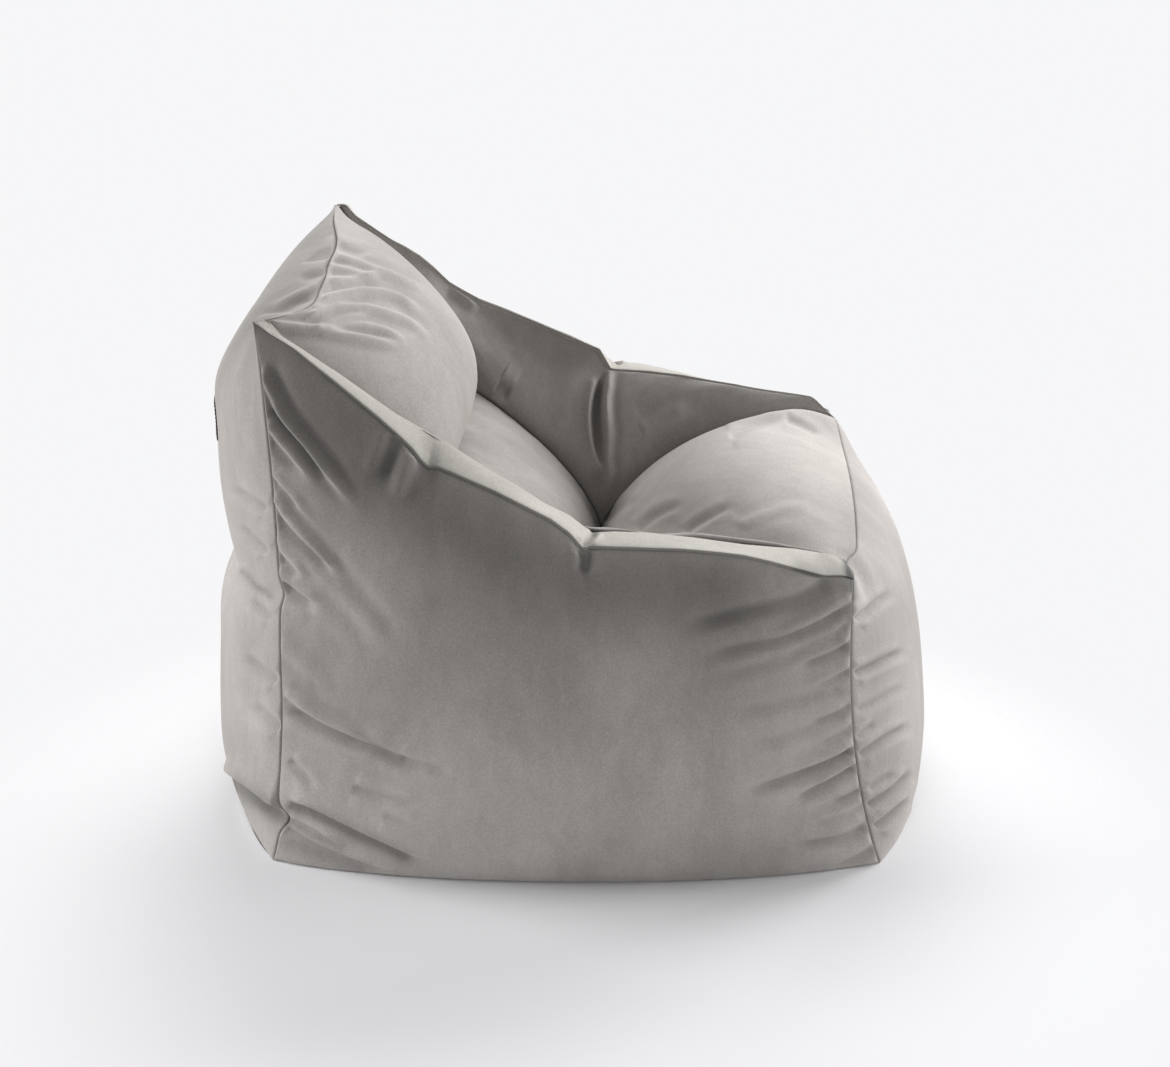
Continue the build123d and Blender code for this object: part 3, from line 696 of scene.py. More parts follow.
# Light and shade painted into the pile's colour, as strokes too: how much paler it is, half width in pixels,
# and points
PAINTED_LIGHT_AND_SHADE_STROKES = {
    "outer_side_panel": (
        # painted shade in a band under the strip, and painted light lower down the side
        (-0.34, 48, (262, 372), (335, 440), (430, 512), (584, 588), (720, 592)),
        (0.16, 110, (300, 790), (560, 810), (850, 800)),
        (0.07, 60, (480, 680), (660, 700)),
        # painted shadows under the tucks over the heel
        (-0.45, 7, (292, 807), (313, 814), (337, 825), (361, 837), (389, 849), (405, 857)),
        (-0.35, 6, (289, 823), (313, 835), (340, 847)),
        (-0.25, 8, (290, 842), (320, 854), (360, 868)),
    ),
    "arm_strip": (
        # painted shade along the strip's front end seam, in its folds there, and over its rear stretch
        (-0.75, 4, (845, 556), (848, 568), (852, 580)),
        (-0.30, 9, (800, 568), (825, 574), (846, 578)),
        (-0.25, 7, (824, 557), (838, 563), (846, 574)),
        (-0.14, 25, (440, 468), (500, 495)),
    ),
    # painted light on the backrest, and a little painted shade on the lumbar panel
    "backrest_panel": ((0.22, 100, (345, 290), (410, 400)),),
    "lumbar_panel": ((-0.02, 80, (470, 430), (560, 490)),),
    "seat_panel": (
        # painted light on the seat, most along its edge by the strip, where it lies in shade
        (0.46, 55, (640, 480), (740, 460), (830, 465)),
        (0.45, 12, (600, 530), (720, 538), (830, 557)),
    ),
    "inner_arm_panel": (
        # painted light low on the far arm, where it lies in shade, and painted shade higher up
        (0.18, 30, (540, 440), (595, 490)),
        (-0.20, 50, (480, 330), (560, 370)),
        (-0.10, 40, (640, 390), (780, 405)),
    ),
    "back_panel": (
        # painted shade at the back's top, painted light down its side, and painted shadows under the heel's
        # tuck and in the waist's crease
        (-0.31, 40, (325, 225), (290, 285), (262, 322)),
        (0.20, 40, (235, 420), (240, 520), (250, 700)),
        (-0.45, 9, (232, 784), (253, 799), (276, 814), (288, 820)),
        (-0.35, 4, (243, 571), (257, 586), (270, 596)),
    ),
    "front_panel": (
        # painted light on the front, and painted shade along its seam by the strip's end
        (0.36, 60, (890, 560), (900, 700)),
        (-0.50, 3, (846, 560), (849, 570), (854, 582), (855, 598)),
    ),
}
# The folds and the tucks of each kind of panel
PANEL_FOLDS = {
    "arm_strip": (STRIP_FOLDS, ()),
    "inner_arm_panel": (ARM_FOLDS, ARM_TUCKS),
    "outer_side_panel": (SIDE_FOLDS, SIDE_TUCKS),
    "front_panel": (FRONT_FOLDS, ()),
    "back_panel": (BACK_FOLDS, BACK_TUCKS),
    "backrest_panel": (BACKREST_FOLDS, ()),
    "seat_panel": (SEAT_FOLDS, ()),
}


def kind_of(name):
    """A panel's name without its side."""
    return name.removesuffix("_right").removesuffix("_left")


def rounded(line):
    """More points on a line, with its corners taken off."""
    line = np.array(line, float)
    for _ in range(FOLD_CUTS):
        early, late = (line[:-1] * (1 - t) + line[1:] * t for t in (FOLD_CUT, 1 - FOLD_CUT))
        line = np.vstack([line[:1], np.stack([early, late], 1).reshape(-1, 2), line[-1:]])
    return line


def reach_along(line):
    """How far along a line each of its points is."""
    return np.concatenate([[0], np.cumsum(lengths(np.diff(line, axis=0)))])


def beside(line, spots):
    """How far spots lie to the side of a line, with a sign, and how far along it they are, from 0 to 1."""
    steps, reached = np.diff(line, axis=0), reach_along(line)
    aside, along = np.full(len(spots), np.inf), np.zeros(len(spots))
    for start, step, length, before in zip(line, steps, lengths(steps), reached):
        away = spots - start
        t = np.clip(away @ step / length**2, 0, 1)
        side = np.sign(step[0] * away[:, 1] - step[1] * away[:, 0])
        distance = lengths(away - t[:, None] * step)
        closer = distance < np.abs(aside)
        aside = np.where(closer, np.where(side == 0, 1, side) * distance, aside)
        along = np.where(closer, (before + t * length) / reached[-1], along)
    return aside, along


def ends_faded(along):
    start, end = FOLD_ENDS
    return smooth(along / start) * smooth((1 - along) / end)


def fold_rise(q):
    """A ridge with a shallow valley on each side, at q half widths from its line."""
    return (1 - q**2) * np.exp(-q**2 / 2)


def tuck_rise(q):
    """A bulge that hangs over a hollow."""
    return -np.tanh(q / TUCK_SHARP) * np.exp(-np.abs(q))


def stroke_heights(spots, folds, tucks):
    """How far folds and tucks lift each spot of the photograph."""
    lift = np.zeros(len(spots))
    strokes = [(fold_rise, *fold) for fold in folds] + [(tuck_rise, *tuck) for tuck in tucks]
    for rise, height, width, *line in strokes:
        path = rounded(line)
        low, high = path.min(0) - FOLD_WIDTHS * width, path.max(0) + FOLD_WIDTHS * width
        near = ((spots > low) & (spots < high)).all(1)
        aside, along = beside(path, spots[near])
        lift[near] += height * rise(aside / width) * ends_faded(along)
    return lift


def mirrored(vectors, flip):
    return np.where(flip[:, None], vectors * (-1, 1, 1), vectors)


def unseen(name, points):
    """Which points of a panel look like their mirror image, because the photograph doesn't show them."""
    if name.startswith("inner_arm_panel"):
        return np.full(len(points), name.endswith("right"))
    return (points[:, 0] > 0) & (name not in ("backrest_panel", "lumbar_panel", "seat_panel"))


def panel_lift(name, points, normals):
    """How far the folds lift a panel's points."""
    kind = kind_of(name)
    if kind not in PANEL_FOLDS:
        return np.zeros(len(points))
    flip = unseen(name, points)
    seen, facing = mirrored(points, flip), mirrored(normals, flip)
    sight = unit(seen - CAMERA_PLACE)
    turned = smooth(-(sight * facing).sum(1) / TURN_FADE)
    return stroke_heights(pixels(seen), *PANEL_FOLDS[kind]) * turned


def panel_painted_light_and_shade(name, points):
    """How much a panel's colour is painted paler, as painted light, and darker, as painted shade, at each
    point.
    """
    spots = pixels(mirrored(points, unseen(name, points)))
    tone = np.zeros(len(points))
    for amount, width, *line in PAINTED_LIGHT_AND_SHADE_STROKES[kind_of(name)]:
        aside, _ = beside(np.array(line, float), spots)
        tone += amount * np.exp(-(aside / width)**2)
    return tone


# Panels as they show

def ring(indices):
    """A panel's edge, once round."""
    return np.concatenate([indices[:-1, 0], indices[-1, :-1], indices[:0:-1, -1], indices[0, :0:-1]])


def grid_indices(shape):
    return np.arange(shape[0] * shape[1]).reshape(shape)


def inward(grid):
    """At each point of a panel's edge, the way into the panel, in an array that is zero elsewhere."""
    way = np.zeros_like(grid)
    for part, rows in ((way, grid), (way.swapaxes(0, 1), grid.swapaxes(0, 1))):
        part[0] += rows[EDGE_THREADS] - rows[0]
        part[-1] += rows[-1 - EDGE_THREADS] - rows[-1]
    return unit(way)


def sewn(grid, normals, turned):
    """A panel's points and faces, with its edge turned in behind the seam."""
    way = inward(grid)
    grid = grid + way * SEAM_GAP
    index = grid_indices(grid.shape[:2])
    edge = ring(index)
    flat, deep = grid.reshape(-1, 3), normals.reshape(-1, 3)
    corners = grid[[0, 0, -1, -1], [0, -1, 0, -1]]
    near = lengths(flat[edge][:, None] - corners).min(1, keepdims=True)
    depth = SEAM_ALLOWANCE * (CORNER_ALLOWANCE + (1 - CORNER_ALLOWANCE) * smooth(near / CORNER_REACH))
    lip = flat[edge] - deep[edge] * depth + way.reshape(-1, 3)[edge] * SEAM_GAP
    lip[:, 2] = np.maximum(lip[:, 2], LIP_FLOOR)
    below = np.arange(len(edge)) + len(flat)
    lips = np.stack([np.roll(edge, -1), edge, below, np.roll(below, -1)], 1)
    faces = np.concatenate([quads(index), lips])
    return np.concatenate([flat, lip]), faces[:, ::-1] if turned else faces


def seam_sink(name, far):
    """How far a panel's cloth sinks beside its seams, by its distance from them."""
    depth = STRIP_SEAM_DEPTH if name.startswith("arm_strip") else SEAM_DEPTH
    return depth * np.exp(-(far / SEAM_ROLL)**SEAM_ROUND)


def strip_tuck(name, grid):
    """How far the panels beside an arm's strip run in under its edges."""
    if not name.startswith(TUCKED_PANELS):
        return np.zeros(grid.shape[:2])
    ends = np.linspace(0, 1, len(grid))[:, None]
    held = smooth(ends / TUCK_ENDS) * smooth((1 - ends) / TUCK_ENDS)
    return TUCK_DEPTH * np.exp(-lengths(grid - grid[:, -1:]) / TUCK_REACH) * held


def smooth_shaded(thing, sharp=()):
    """The piece shaded smooth, apart from the edges between sharp points."""
    mesh = thing.data
    mesh.polygons.foreach_set("use_smooth", np.ones(len(mesh.polygons), bool))
    ends = np.zeros(len(mesh.edges) * 2, int)
    mesh.edges.foreach_get("vertices", ends)
    crisp = mesh.attributes.new("sharp_edge", "BOOLEAN", "EDGE")
    crisp.data.foreach_set("value", np.isin(ends, sharp).reshape(-1, 2).all(1))
    return thing


def grid_object(name, grid):
    return smooth_shaded(mesh_object(name, grid.reshape(-1, 3), quads(grid_indices(grid.shape[:2]))))


def dressed(thing, look, node):
    """A finished piece of the chair, which stands for a node."""
    thing.data.materials.append(look)
    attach(thing, "chair")
    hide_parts(node)


def dressed_sheet(thing, look, node):
    """A finished panel of the cover or the base."""
    dressed(thing, look, node)


# Nodes of the materials

WAVE_SCALE = 20  # radians to a metre for each unit of a wave texture's scale
WEAVE_SHADE = 0.72  # of a cloth's colour between its threads
GRAIN_SHADE, GRAIN_ROUGHNESS = 0.8, (0.8, 1.25)  # of a moulded piece's colour, and of its roughness


def shader_of(name):
    material = bpy.data.materials.new(name)
    material.use_nodes = True
    return material, material.node_tree, material.node_tree.nodes["Principled BSDF"]


def feed(tree, node, inputs):
    """Gives a node's inputs their values, or links them to other nodes' outputs."""
    for key, value in inputs.items():
        if isinstance(value, bpy.types.NodeSocket):
            tree.links.new(value, node.inputs[key])
        else:
            node.inputs[key].default_value = value


def add_node(tree, kind, inputs, **settings):
    node = tree.nodes.new("ShaderNode" + kind)
    for key, value in settings.items():
        setattr(node, key, value)
    feed(tree, node, inputs)
    return node


def object_place(tree):
    return add_node(tree, "TexCoord", {}).outputs["Object"]


def combined(tree, operation, first, second):
    return add_node(tree, "Math", {0: first, 1: second}, operation=operation).outputs["Value"]


def noise(tree, scale, detail=3.0, stretch=(1, 1, 1), distortion=0.0):
    place = add_node(tree, "Mapping", {"Vector": object_place(tree), "Scale": stretch}).outputs["Vector"]
    settings = {"Vector": place, "Scale": scale, "Detail": detail, "Distortion": distortion}
    return add_node(tree, "TexNoise", settings).outputs["Fac"]


def ramp(tree, value, ends, dark, pale):
    node = add_node(tree, "ValToRGB", {"Fac": value})
    for element, position, colour in zip(node.color_ramp.elements, ends, (dark, pale)):
        element.position = position
        element.color = (*colour, 1)
    return node.outputs["Color"]


def shaded(tree, colour, shade):
    """A colour made darker by a shade."""
    inputs = {"Factor": 1, "A": colour, "B": shade}
    return add_node(tree, "Mix", inputs, data_type="RGBA", blend_type="MULTIPLY").outputs["Result"]


def mottled(tree, colour, value, ends, darkest):
    """A colour made darker where a value is low."""
    return shaded(tree, colour, ramp(tree, value, ends, (darkest,) * 3, (1, 1, 1)))


def bumped(tree, shader, heights):
    """Bumps on a surface, each a value, its strength and how high it is in metres."""
    under = {}
    for value, strength, distance in heights:
        bump = add_node(tree, "Bump", {"Height": value, "Strength": strength, "Distance": distance, **under})
        under = {"Normal": bump.outputs["Normal"]}
    feed(tree, shader, under)


def linear(red, green, blue):
    """A colour given as it shows on a screen, from 0 to 255."""
    shares = (c / 255 for c in (red, green, blue))
    return tuple(c / 12.92 if c < 0.0404 else ((c + 0.055) / 1.055)**2.4 for c in shares)


# Materials

def velvet(name, dark, pale):
    """Short pile, brushed in patches and streaks, and darker or paler by the light and shade painted onto
    each panel.
    """
    material, tree, shader = shader_of(name)
    patches = noise(tree, scale=4.5, detail=4, stretch=(1, 1, 0.7), distortion=0.6)
    streaks = noise(tree, scale=38, detail=4, stretch=(1, 1, 0.45), distortion=1.2)
    pile = noise(tree, scale=420, detail=2)
    colour = ramp(tree, patches, (0.36, 0.66), linear(*dark), linear(*pale))
    colour = mottled(tree, colour, streaks, (0.3, 0.7), darkest=0.90)
    colour = mottled(tree, colour, pile, (0.3, 0.72), darkest=0.80)
    # painted light and shade, from each panel's attribute, scales the base colour
    painted_light_and_shade = add_node(tree, "Attribute", {}, attribute_name="painted_light_and_shade").outputs["Fac"]
    paler = {"Value": painted_light_and_shade, "From Min": -1, "From Max": 1, "To Min": 0, "To Max": 2}
    tone = add_node(tree, "MapRange", paler).outputs["Result"]
    feed(tree, shader, {
        "Base Color": shaded(tree, colour, tone),
        "Roughness": 0.85,
        "Specular IOR Level": 0.15,
        "Sheen Weight": 0.28,
        "Sheen Roughness": 0.5,
        "Sheen Tint": (1.0, 0.97, 0.94, 1),
    })
    rub, grain = noise(tree, scale=55, detail=4), noise(tree, scale=900, detail=2)
    bumped(tree, shader, [(rub, 0.12, 0.004), (grain, 0.10, 0.0006)])
    return material


def plain_cloth(name, colour, threads=900, sheen=0.1):
    """A plain weave, from two sets of waves."""
    material, tree, shader = shader_of(name)
    waves = {"Vector": object_place(tree), "Scale": threads / WAVE_SCALE, "Distortion": 0.4}
    sets = [add_node(tree, "TexWave", waves, bands_direction=axis).outputs["Fac"] for axis in ("X", "Y")]
    weave = combined(tree, "MULTIPLY", *sets)
    pale = linear(*colour)
    cloth = ramp(tree, weave, (0.1, 0.7), [WEAVE_SHADE * c for c in pale], pale)
    feed(tree, shader, {
        "Base Color": mottled(tree, cloth, noise(tree, scale=14, detail=4), (0.3, 0.7), darkest=0.86),
        "Roughness": 0.85,
        "Specular IOR Level": 0.2,
        "Sheen Weight": sheen,
    })
    bumped(tree, shader, [(weave, 0.4, 0.0004), (noise(tree, scale=60), 0.1, 0.002)])
    return material


def moulded(name, colour, roughness, metallic=0.0):
    """Moulded plastic or cast metal, with a faint grain."""
    material, tree, shader = shader_of(name)
    pale = linear(*colour)
    dark = [GRAIN_SHADE * c for c in pale]
    low, high = (min(1, roughness * share) for share in GRAIN_ROUGHNESS)
    worn = {"Value": noise(tree, scale=500), "To Min": low, "To Max": high}
    feed(tree, shader, {
        "Base Color": ramp(tree, noise(tree, scale=300), (0.35, 0.65), dark, pale),
        "Roughness": add_node(tree, "MapRange", worn).outputs["Result"],
        "Metallic": metallic,
    })
    bumped(tree, shader, [(noise(tree, scale=1200, detail=2), 0.1, 0.0002)])
    return material


def bead_look(name):
    """Packed foam beads, with painted shade in the gaps between them."""
    material, tree, shader = shader_of(name)
    cells = add_node(tree, "TexVoronoi", {"Vector": object_place(tree), "Scale": 210})
    domes = combined(tree, "SUBTRACT", 1, cells.outputs["Distance"])
    feed(tree, shader, {
        "Base Color": ramp(tree, domes, (0.2, 0.7), (0.45, 0.45, 0.44), (0.86, 0.86, 0.85)),
        "Roughness": 0.6,
    })
    bumped(tree, shader, [(domes, 0.8, 0.003)])
    return material


# The cover

make_camera()
velvet_look = velvet("grey_velvet", (154, 149, 145), (176, 171, 167))
# The strips take a paler copy of the same velvet: painted light for their upward-facing tops
lit_strip_look = velvet("grey_velvet_strip_painted_light", (180, 176, 169), (202, 198, 191))
nets, lines = panel_nets(), panel_lines()
coarse_grids = {n: panel_points(nets, n, u, v) for n, (u, v) in lines.items()}
coarse_points, coarse_indices = welded(coarse_grids)
coarse_faces = np.concatenate(list(cover_faces(coarse_indices).values()))
cloth_shift = np.zeros_like(coarse_points)
cloth_shift = settled(coarse_points, coarse_faces, seam_distance(coarse_points, coarse_indices))

smooth_grids, moves = {}, {}
for name, (u, v) in lines.items():
    fine_u, fine_v = finer(u), finer(v)
    smooth_grids[name] = panel_points(nets, name, fine_u, fine_v)
    moves[name] = on_grid(spread(u, fine_u), spread(v, fine_v), cloth_shift[coarse_indices[name]])
    if name.startswith("arm_strip"):
        moves[name] *= STRIP_SHARE
smooth_points, indices = welded(smooth_grids)
panel_faces = cover_faces(indices)
faces = np.concatenate(list(panel_faces.values()))
far = seam_distance(smooth_points, indices)
normals = normals_of(smooth_points, faces)
points, lifts = smooth_points.copy(), {}
for name, index in indices.items():
    own = index.ravel()
    lift = panel_lift(name, smooth_points[own], normals[own]) * smooth(far[own] / FOLD_START)
    if name == "inner_arm_panel_right":
        lift *= smooth(far[own] / NEAR_ARM_CLEAR)
    points[own] = smooth_points[own] + moves[name].reshape(-1, 3) + normals[own] * lift[:, None]
    lifts[name] = lift
normals = normals_of(points, faces)

sunk_grids = {}
for name, index in indices.items():
    sunk = points[index] - normals[index] * seam_sink(name, far[index])[..., None]
    sunk -= normals_of(points, panel_faces[name])[index] * strip_tuck(name, sunk)[..., None]
    sunk[..., 2] = np.maximum(sunk[..., 2], 0)
    sunk_grids[name] = sunk
    shape, skin = sewn(sunk, normals[index], name in TURNED_PANELS)
    panel = smooth_shaded(mesh_object(name + "_cloth", shape, skin), ring(grid_indices(index.shape)))
    # Painted light and shade: the strokes, painted shade down in folds and light on their ridges, and
    # painted shade beside the seams
    tone = panel_painted_light_and_shade(name, shape)
    tone[:index.size] += np.clip(lifts[name] * FOLD_PAINTED_SHADE, *FOLD_PAINTED_SHADES)
    tone[:index.size] -= SEAM_PAINTED_SHADE * np.exp(-(far[index.ravel()] / SEAM_PAINTED_SHADE_REACH)**2)
    panel.data.attributes.new("painted_light_and_shade", "FLOAT", "POINT").data.foreach_set("value", tone)
    look = lit_strip_look if name.startswith("arm_strip") else velvet_look
    dressed_sheet(panel, look, name)


# The base, whose two panels turn back in hems along the zip

BASE_INSET = 0.992  # of the base's size to the cover's
BASE_ROWS, BASE_COLUMNS = 60, 72
BASE_HEIGHT, BASE_RIPPLE = 0.0012, 0.0003
BASE_WAVES = ((61, 23), (-17, 47))  # ripples along x and y, in radians to a metre
HEM_PROFILE = (  # away from the slot's edge, and above the floor
    (0.010, 0.0012), (0.002, 0.0012), (0.0006, 0.0020), (0.0, 0.0034), (0.0006, 0.0050), (0.002, 0.0058),
    (0.012, 0.0059),
)
TAB_COLUMNS, TAB_ROWS, TAB_RISE, TAB_WAVES = 40, 9, 0.0008, 150
CURVE_STEPS = 400


def curve_at(curve, axis, value):
    """The share along a curve at which it reaches a value on an axis."""
    shares = np.linspace(0, 1, CURVE_STEPS)
    reached = (basis(shares) @ curve)[:, axis]
    order = np.argsort(reached)
    return float(np.interp(value, reached[order], shares[order]))


def base_edge(curve, count):
    """Points along an edge of the base, which is set in from the cover."""
    edge = basis(np.linspace(0, 1, count)) @ curve
    edge[:, :2] *= BASE_INSET
    return edge


def base_panel(name, outer_edge, slot_y, sign):
    """A base panel from an outer edge to the zip's slot. Sign is the way from the slot into the panel."""
    edges = []
    for s in (right_seams, left_seams):
        share = curve_at(s["bottom"], 1, slot_y / BASE_INSET)
        edges.append(base_edge(piece_of(s["bottom"], 1 if sign < 0 else 0, share), BASE_ROWS))
    slot = np.linspace(edges[0][-1], edges[1][-1], BASE_COLUMNS)
    grid = coons(base_edge(outer_edge, BASE_COLUMNS), slot, *edges)
    first, second = (np.sin(grid[..., :2] @ waves) for waves in BASE_WAVES)
    grid[..., 2] = BASE_HEIGHT + BASE_RIPPLE * first * second
    hem = [grid[:, -1] * (1, 1, 0) + (0, sign * back, height) for back, height in HEM_PROFILE]
    grid = np.concatenate([grid[:, :-1], np.stack(hem, 1)], 1)
    dressed_sheet(grid_object(name + "_cloth", grid), base_look, name)


def end_tab(name, sign):
    """The cloth that closes the slot past an end of the zip."""
    low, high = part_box(name)
    near, far_end = (high.x, low.x) if sign < 0 else (low.x, high.x)
    xs, ys = np.linspace(near, far_end, TAB_COLUMNS), np.linspace(low.y, high.y, TAB_ROWS)
    grid = np.stack([*np.meshgrid(xs, ys, indexing="ij"), np.zeros((TAB_COLUMNS, TAB_ROWS))], -1)
    rise = np.sin(np.linspace(0, math.pi, TAB_ROWS))
    grid[..., 2] = BASE_HEIGHT + TAB_RISE * rise + BASE_RIPPLE * np.sin(grid[..., 0] * TAB_WAVES)
    dressed_sheet(grid_object(name + "_cloth", grid), base_look, name)


base_look = plain_cloth("base_weave", (96, 93, 89))
base_panel("base_panel_front", front_bottom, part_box("base_panel_front")[1].y, -1)
base_panel("base_panel_rear", back_bottom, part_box("base_panel_rear")[0].y, 1)
for side, sign in SIDES:
    end_tab("zip_end_tab_" + side, sign)


# Zip

TAPE_RIBS, TAPE_RIB_STEPS, TAPE_COLUMNS = 6, 4, 90
TAPE_CORD_STEPS = 3  # of the tape's width that its corded edge takes
TAPE_VALLEY = 0.72  # of the tape's thickness between two ribs
TAPE_EDGE = 0.3  # of it at the sewn edge


def zip_tape(name, sign):
    """A woven tape with ribs along it and a corded edge that holds the teeth."""
    low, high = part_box(name)
    corded = low.y if sign > 0 else high.y
    middle, half = (low.z + high.z) / 2, (high.z - low.z) / 2
    steps = np.linspace(0, 1, TAPE_RIBS * TAPE_RIB_STEPS + 1)
    thick = half * (TAPE_VALLEY + (1 - TAPE_VALLEY) * np.abs(np.sin(steps * TAPE_RIBS * math.pi)))
    thick[:TAPE_CORD_STEPS] = half
    thick[-1] = half * TAPE_EDGE
    y = corded + sign * steps * (high.y - low.y)
    outline = np.concatenate([np.stack([y, middle + thick], 1), np.stack([y, middle - thick], 1)[::-1]])
    xs = np.linspace(low.x, high.x, TAPE_COLUMNS)
    loop = np.array([[(x, *spot) for spot in outline] for x in xs])
    index = grid_indices(loop.shape[:2])
    faces = quads(np.concatenate([index, index[:, :1]], 1))
    caps = [index[0][::-1], index[-1]]
    if sign > 0:
        faces, caps = faces[:, ::-1], [cap[::-1] for cap in caps]
    thing = smooth_shaded(mesh_object(name + "_weave", loop.reshape(-1, 3), [*faces, *caps]))
    dressed(thing, tape_look, name)


tape_look = plain_cloth("tape_weave", (84, 81, 78), threads=1600)
zip_tape("zip_tape_front", -1)
zip_tape("zip_tape_rear", 1)
teeth_look = moulded("zip_tooth_plastic", (70, 68, 66), roughness=0.45)
metal_look = moulded("zip_slider_metal", (120, 118, 115), roughness=0.35, metallic=1.0)
for node, look in (("zip_teeth_front", teeth_look), ("zip_teeth_rear", teeth_look),
                   ("zip_slider", metal_look), ("zip_end_stops", metal_look)):
    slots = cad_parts[node].data.materials
    for i in range(len(slots)):
        slots[i] = look


# Label, bare, on the back

LABEL_ACROSS, LABEL_UP = (0.27, 0.36), (0.40, 0.52)  # of the back's width, and of the upper back's height
LABEL_COLUMNS, LABEL_ROWS = 22, 20
LABEL_LOW, LABEL_HIGH, LABEL_SOFT = 0.0002, 0.0016, 0.0005
STITCH_STEP, STITCH_LENGTH, STITCH_RADIUS = 0.005, 0.0032, 0.0003
STITCH_SIDES, STITCH_RINGS = 6, 6
STITCH_END = 0.4  # of a stitch's radius at its ends
STITCH_MARGIN = 0.08  # share of the label's size from its edge to the stitches
STITCH_LINE_STEPS = 60  # along each side of the label


def slab(grid):
    """The label's points and faces: a thin piece that follows a grid of points, with rounded edges."""
    index = grid_indices(grid.shape[:2])
    up = normals_of(grid.reshape(-1, 3), quads(index)[:, ::-1]).reshape(grid.shape)
    middle = grid.mean((0, 1))
    top = grid + up * LABEL_HIGH
    top += (middle - top) * (LABEL_SOFT / lengths(grid[0, 0] - middle))
    layers = [grid + up * LABEL_LOW, grid + up * (LABEL_HIGH - LABEL_SOFT), top]
    edge = ring(index)
    faces = [quads(index), quads(index)[:, ::-1] + 2 * index.size]
    for k in (0, 1):
        here, above = edge + k * index.size, edge + (k + 1) * index.size
        faces.append(np.stack([here, np.roll(here, -1), np.roll(above, -1), above], 1))
    shape = np.concatenate([layer.reshape(-1, 3) for layer in layers])
    used, renamed = np.unique(np.concatenate(faces), return_inverse=True)
    return shape[used], renamed.reshape(-1, 4)


def label_points(columns, rows, margin=0.0):
    """A grid of points on the back, over the label or set in from its edges by a share of its size."""
    inset = (margin, 1 - margin)
    u = np.linspace(*np.interp(inset, (0, 1), LABEL_ACROSS), columns)
    v = WAIST + (1 - WAIST) * np.linspace(*np.interp(inset, (0, 1), LABEL_UP), rows)
    back_u, back_v = (finer(shares) for shares in lines["back_panel"])
    return on_grid(spread(back_u, u), spread(back_v, v), sunk_grids["back_panel"])


def stitches(line, out):
    """Short threads along a closed line, each a small tube that dips in at its ends."""
    line = np.vstack([line, line[:1]])
    reached = reach_along(line)
    arch = np.sin(np.linspace(0, math.pi, STITCH_RINGS))
    radii = STITCH_RADIUS * (STITCH_END + (1 - STITCH_END) * arch)
    turns = np.linspace(0, 2 * math.pi, STITCH_SIDES, endpoint=False)
    shape, skin = [], []
    for k in range(int(reached[-1] / STITCH_STEP)):
        spots = k * STITCH_STEP + np.linspace(0, STITCH_LENGTH, STITCH_RINGS)
        run = np.stack([np.interp(spots, reached, line[:, a]) for a in range(3)], 1)
        run += out * (LABEL_HIGH + STITCH_RADIUS * (arch - STITCH_END))[:, None]
        aside = np.cross(unit(run[-1] - run[0]), out)
        circle = np.cos(turns)[:, None] * aside + np.sin(turns)[:, None] * out
        tube = run[:, None] + circle * radii[:, None, None]
        index = grid_indices(tube.shape[:2]) + k * STITCH_RINGS * STITCH_SIDES
        shape.append(tube.reshape(-1, 3))
        skin += [*quads(np.concatenate([index, index[:, :1]], 1))[:, ::-1], index[0], index[-1][::-1]]
    return np.concatenate(shape), skin


label_grid = label_points(LABEL_COLUMNS, LABEL_ROWS)
label = smooth_shaded(mesh_object("label_patch_cloth", *slab(label_grid)))
label_look = plain_cloth("label_satin", (38, 38, 40), threads=2600, sheen=0.2)
dressed(label, label_look, "label_patch")
# The way out of the back near the label
back_normals = normals[indices["back_panel"]]
label_out = back_normals[len(back_normals) // 3, 2 * len(back_normals[0]) // 3]
thread_grid = label_points(STITCH_LINE_STEPS, STITCH_LINE_STEPS, STITCH_MARGIN)
thread_line = thread_grid.reshape(-1, 3)[ring(grid_indices(thread_grid.shape[:2]))]
thread = smooth_shaded(mesh_object("label_stitching_thread", *stitches(thread_line, label_out)))
thread_look = plain_cloth("label_thread_twist", (52, 52, 54), threads=4000)
dressed(thread, thread_look, "label_stitching")


# What is inside: a liner bag and the beads

LINER_DEPTH, LINER_FLOOR, LINER_WAVES = 0.016, 0.010, 0.0012
FILL_DEPTH, FILL_FLOOR, FILL_WAVES = 0.021, 0.013, 0.0015
BAG_SEAM_DEPTH = 0.011
BAG_WAVES = ((71, 53, 37), (-43, 67, 59))  # ripples along x, y and z, in radians to a metre
BAG_CORES = {"crest": (0, 0.20, 0.40), "tip": (0, -0.20, 0.15)}  # the bag draws in from corners to these
HORN_REACH, HORN_PULL = 0.07, 0.30
ARM_DROP, ARM_PINCH, ARM_PINCH_REACH = 0.035, 0.75, 0.06


def pinched(cover, shape, skins):
    """The bag's points drawn in and down under the arm strips, where the arms are thin."""
    goal, share = shape.copy(), np.zeros((len(shape), 1))
    for side, _ in SIDES:
        middle = cover[skins["arm_strip_" + side]].mean(1, keepdims=True)
        for panel in ("arm_strip_", "outer_side_panel_", "inner_arm_panel_"):
            own = skins[panel + side]
            below = lengths(cover[own] - cover[own][:, -1:])[..., None] * (panel != "arm_strip_")
            goal[own] = middle - (below + ARM_DROP) * (0, 0, 1)
            share[own] = ARM_PINCH * np.exp(-(below / ARM_PINCH_REACH)**2)
    return shape + (goal - shape) * share


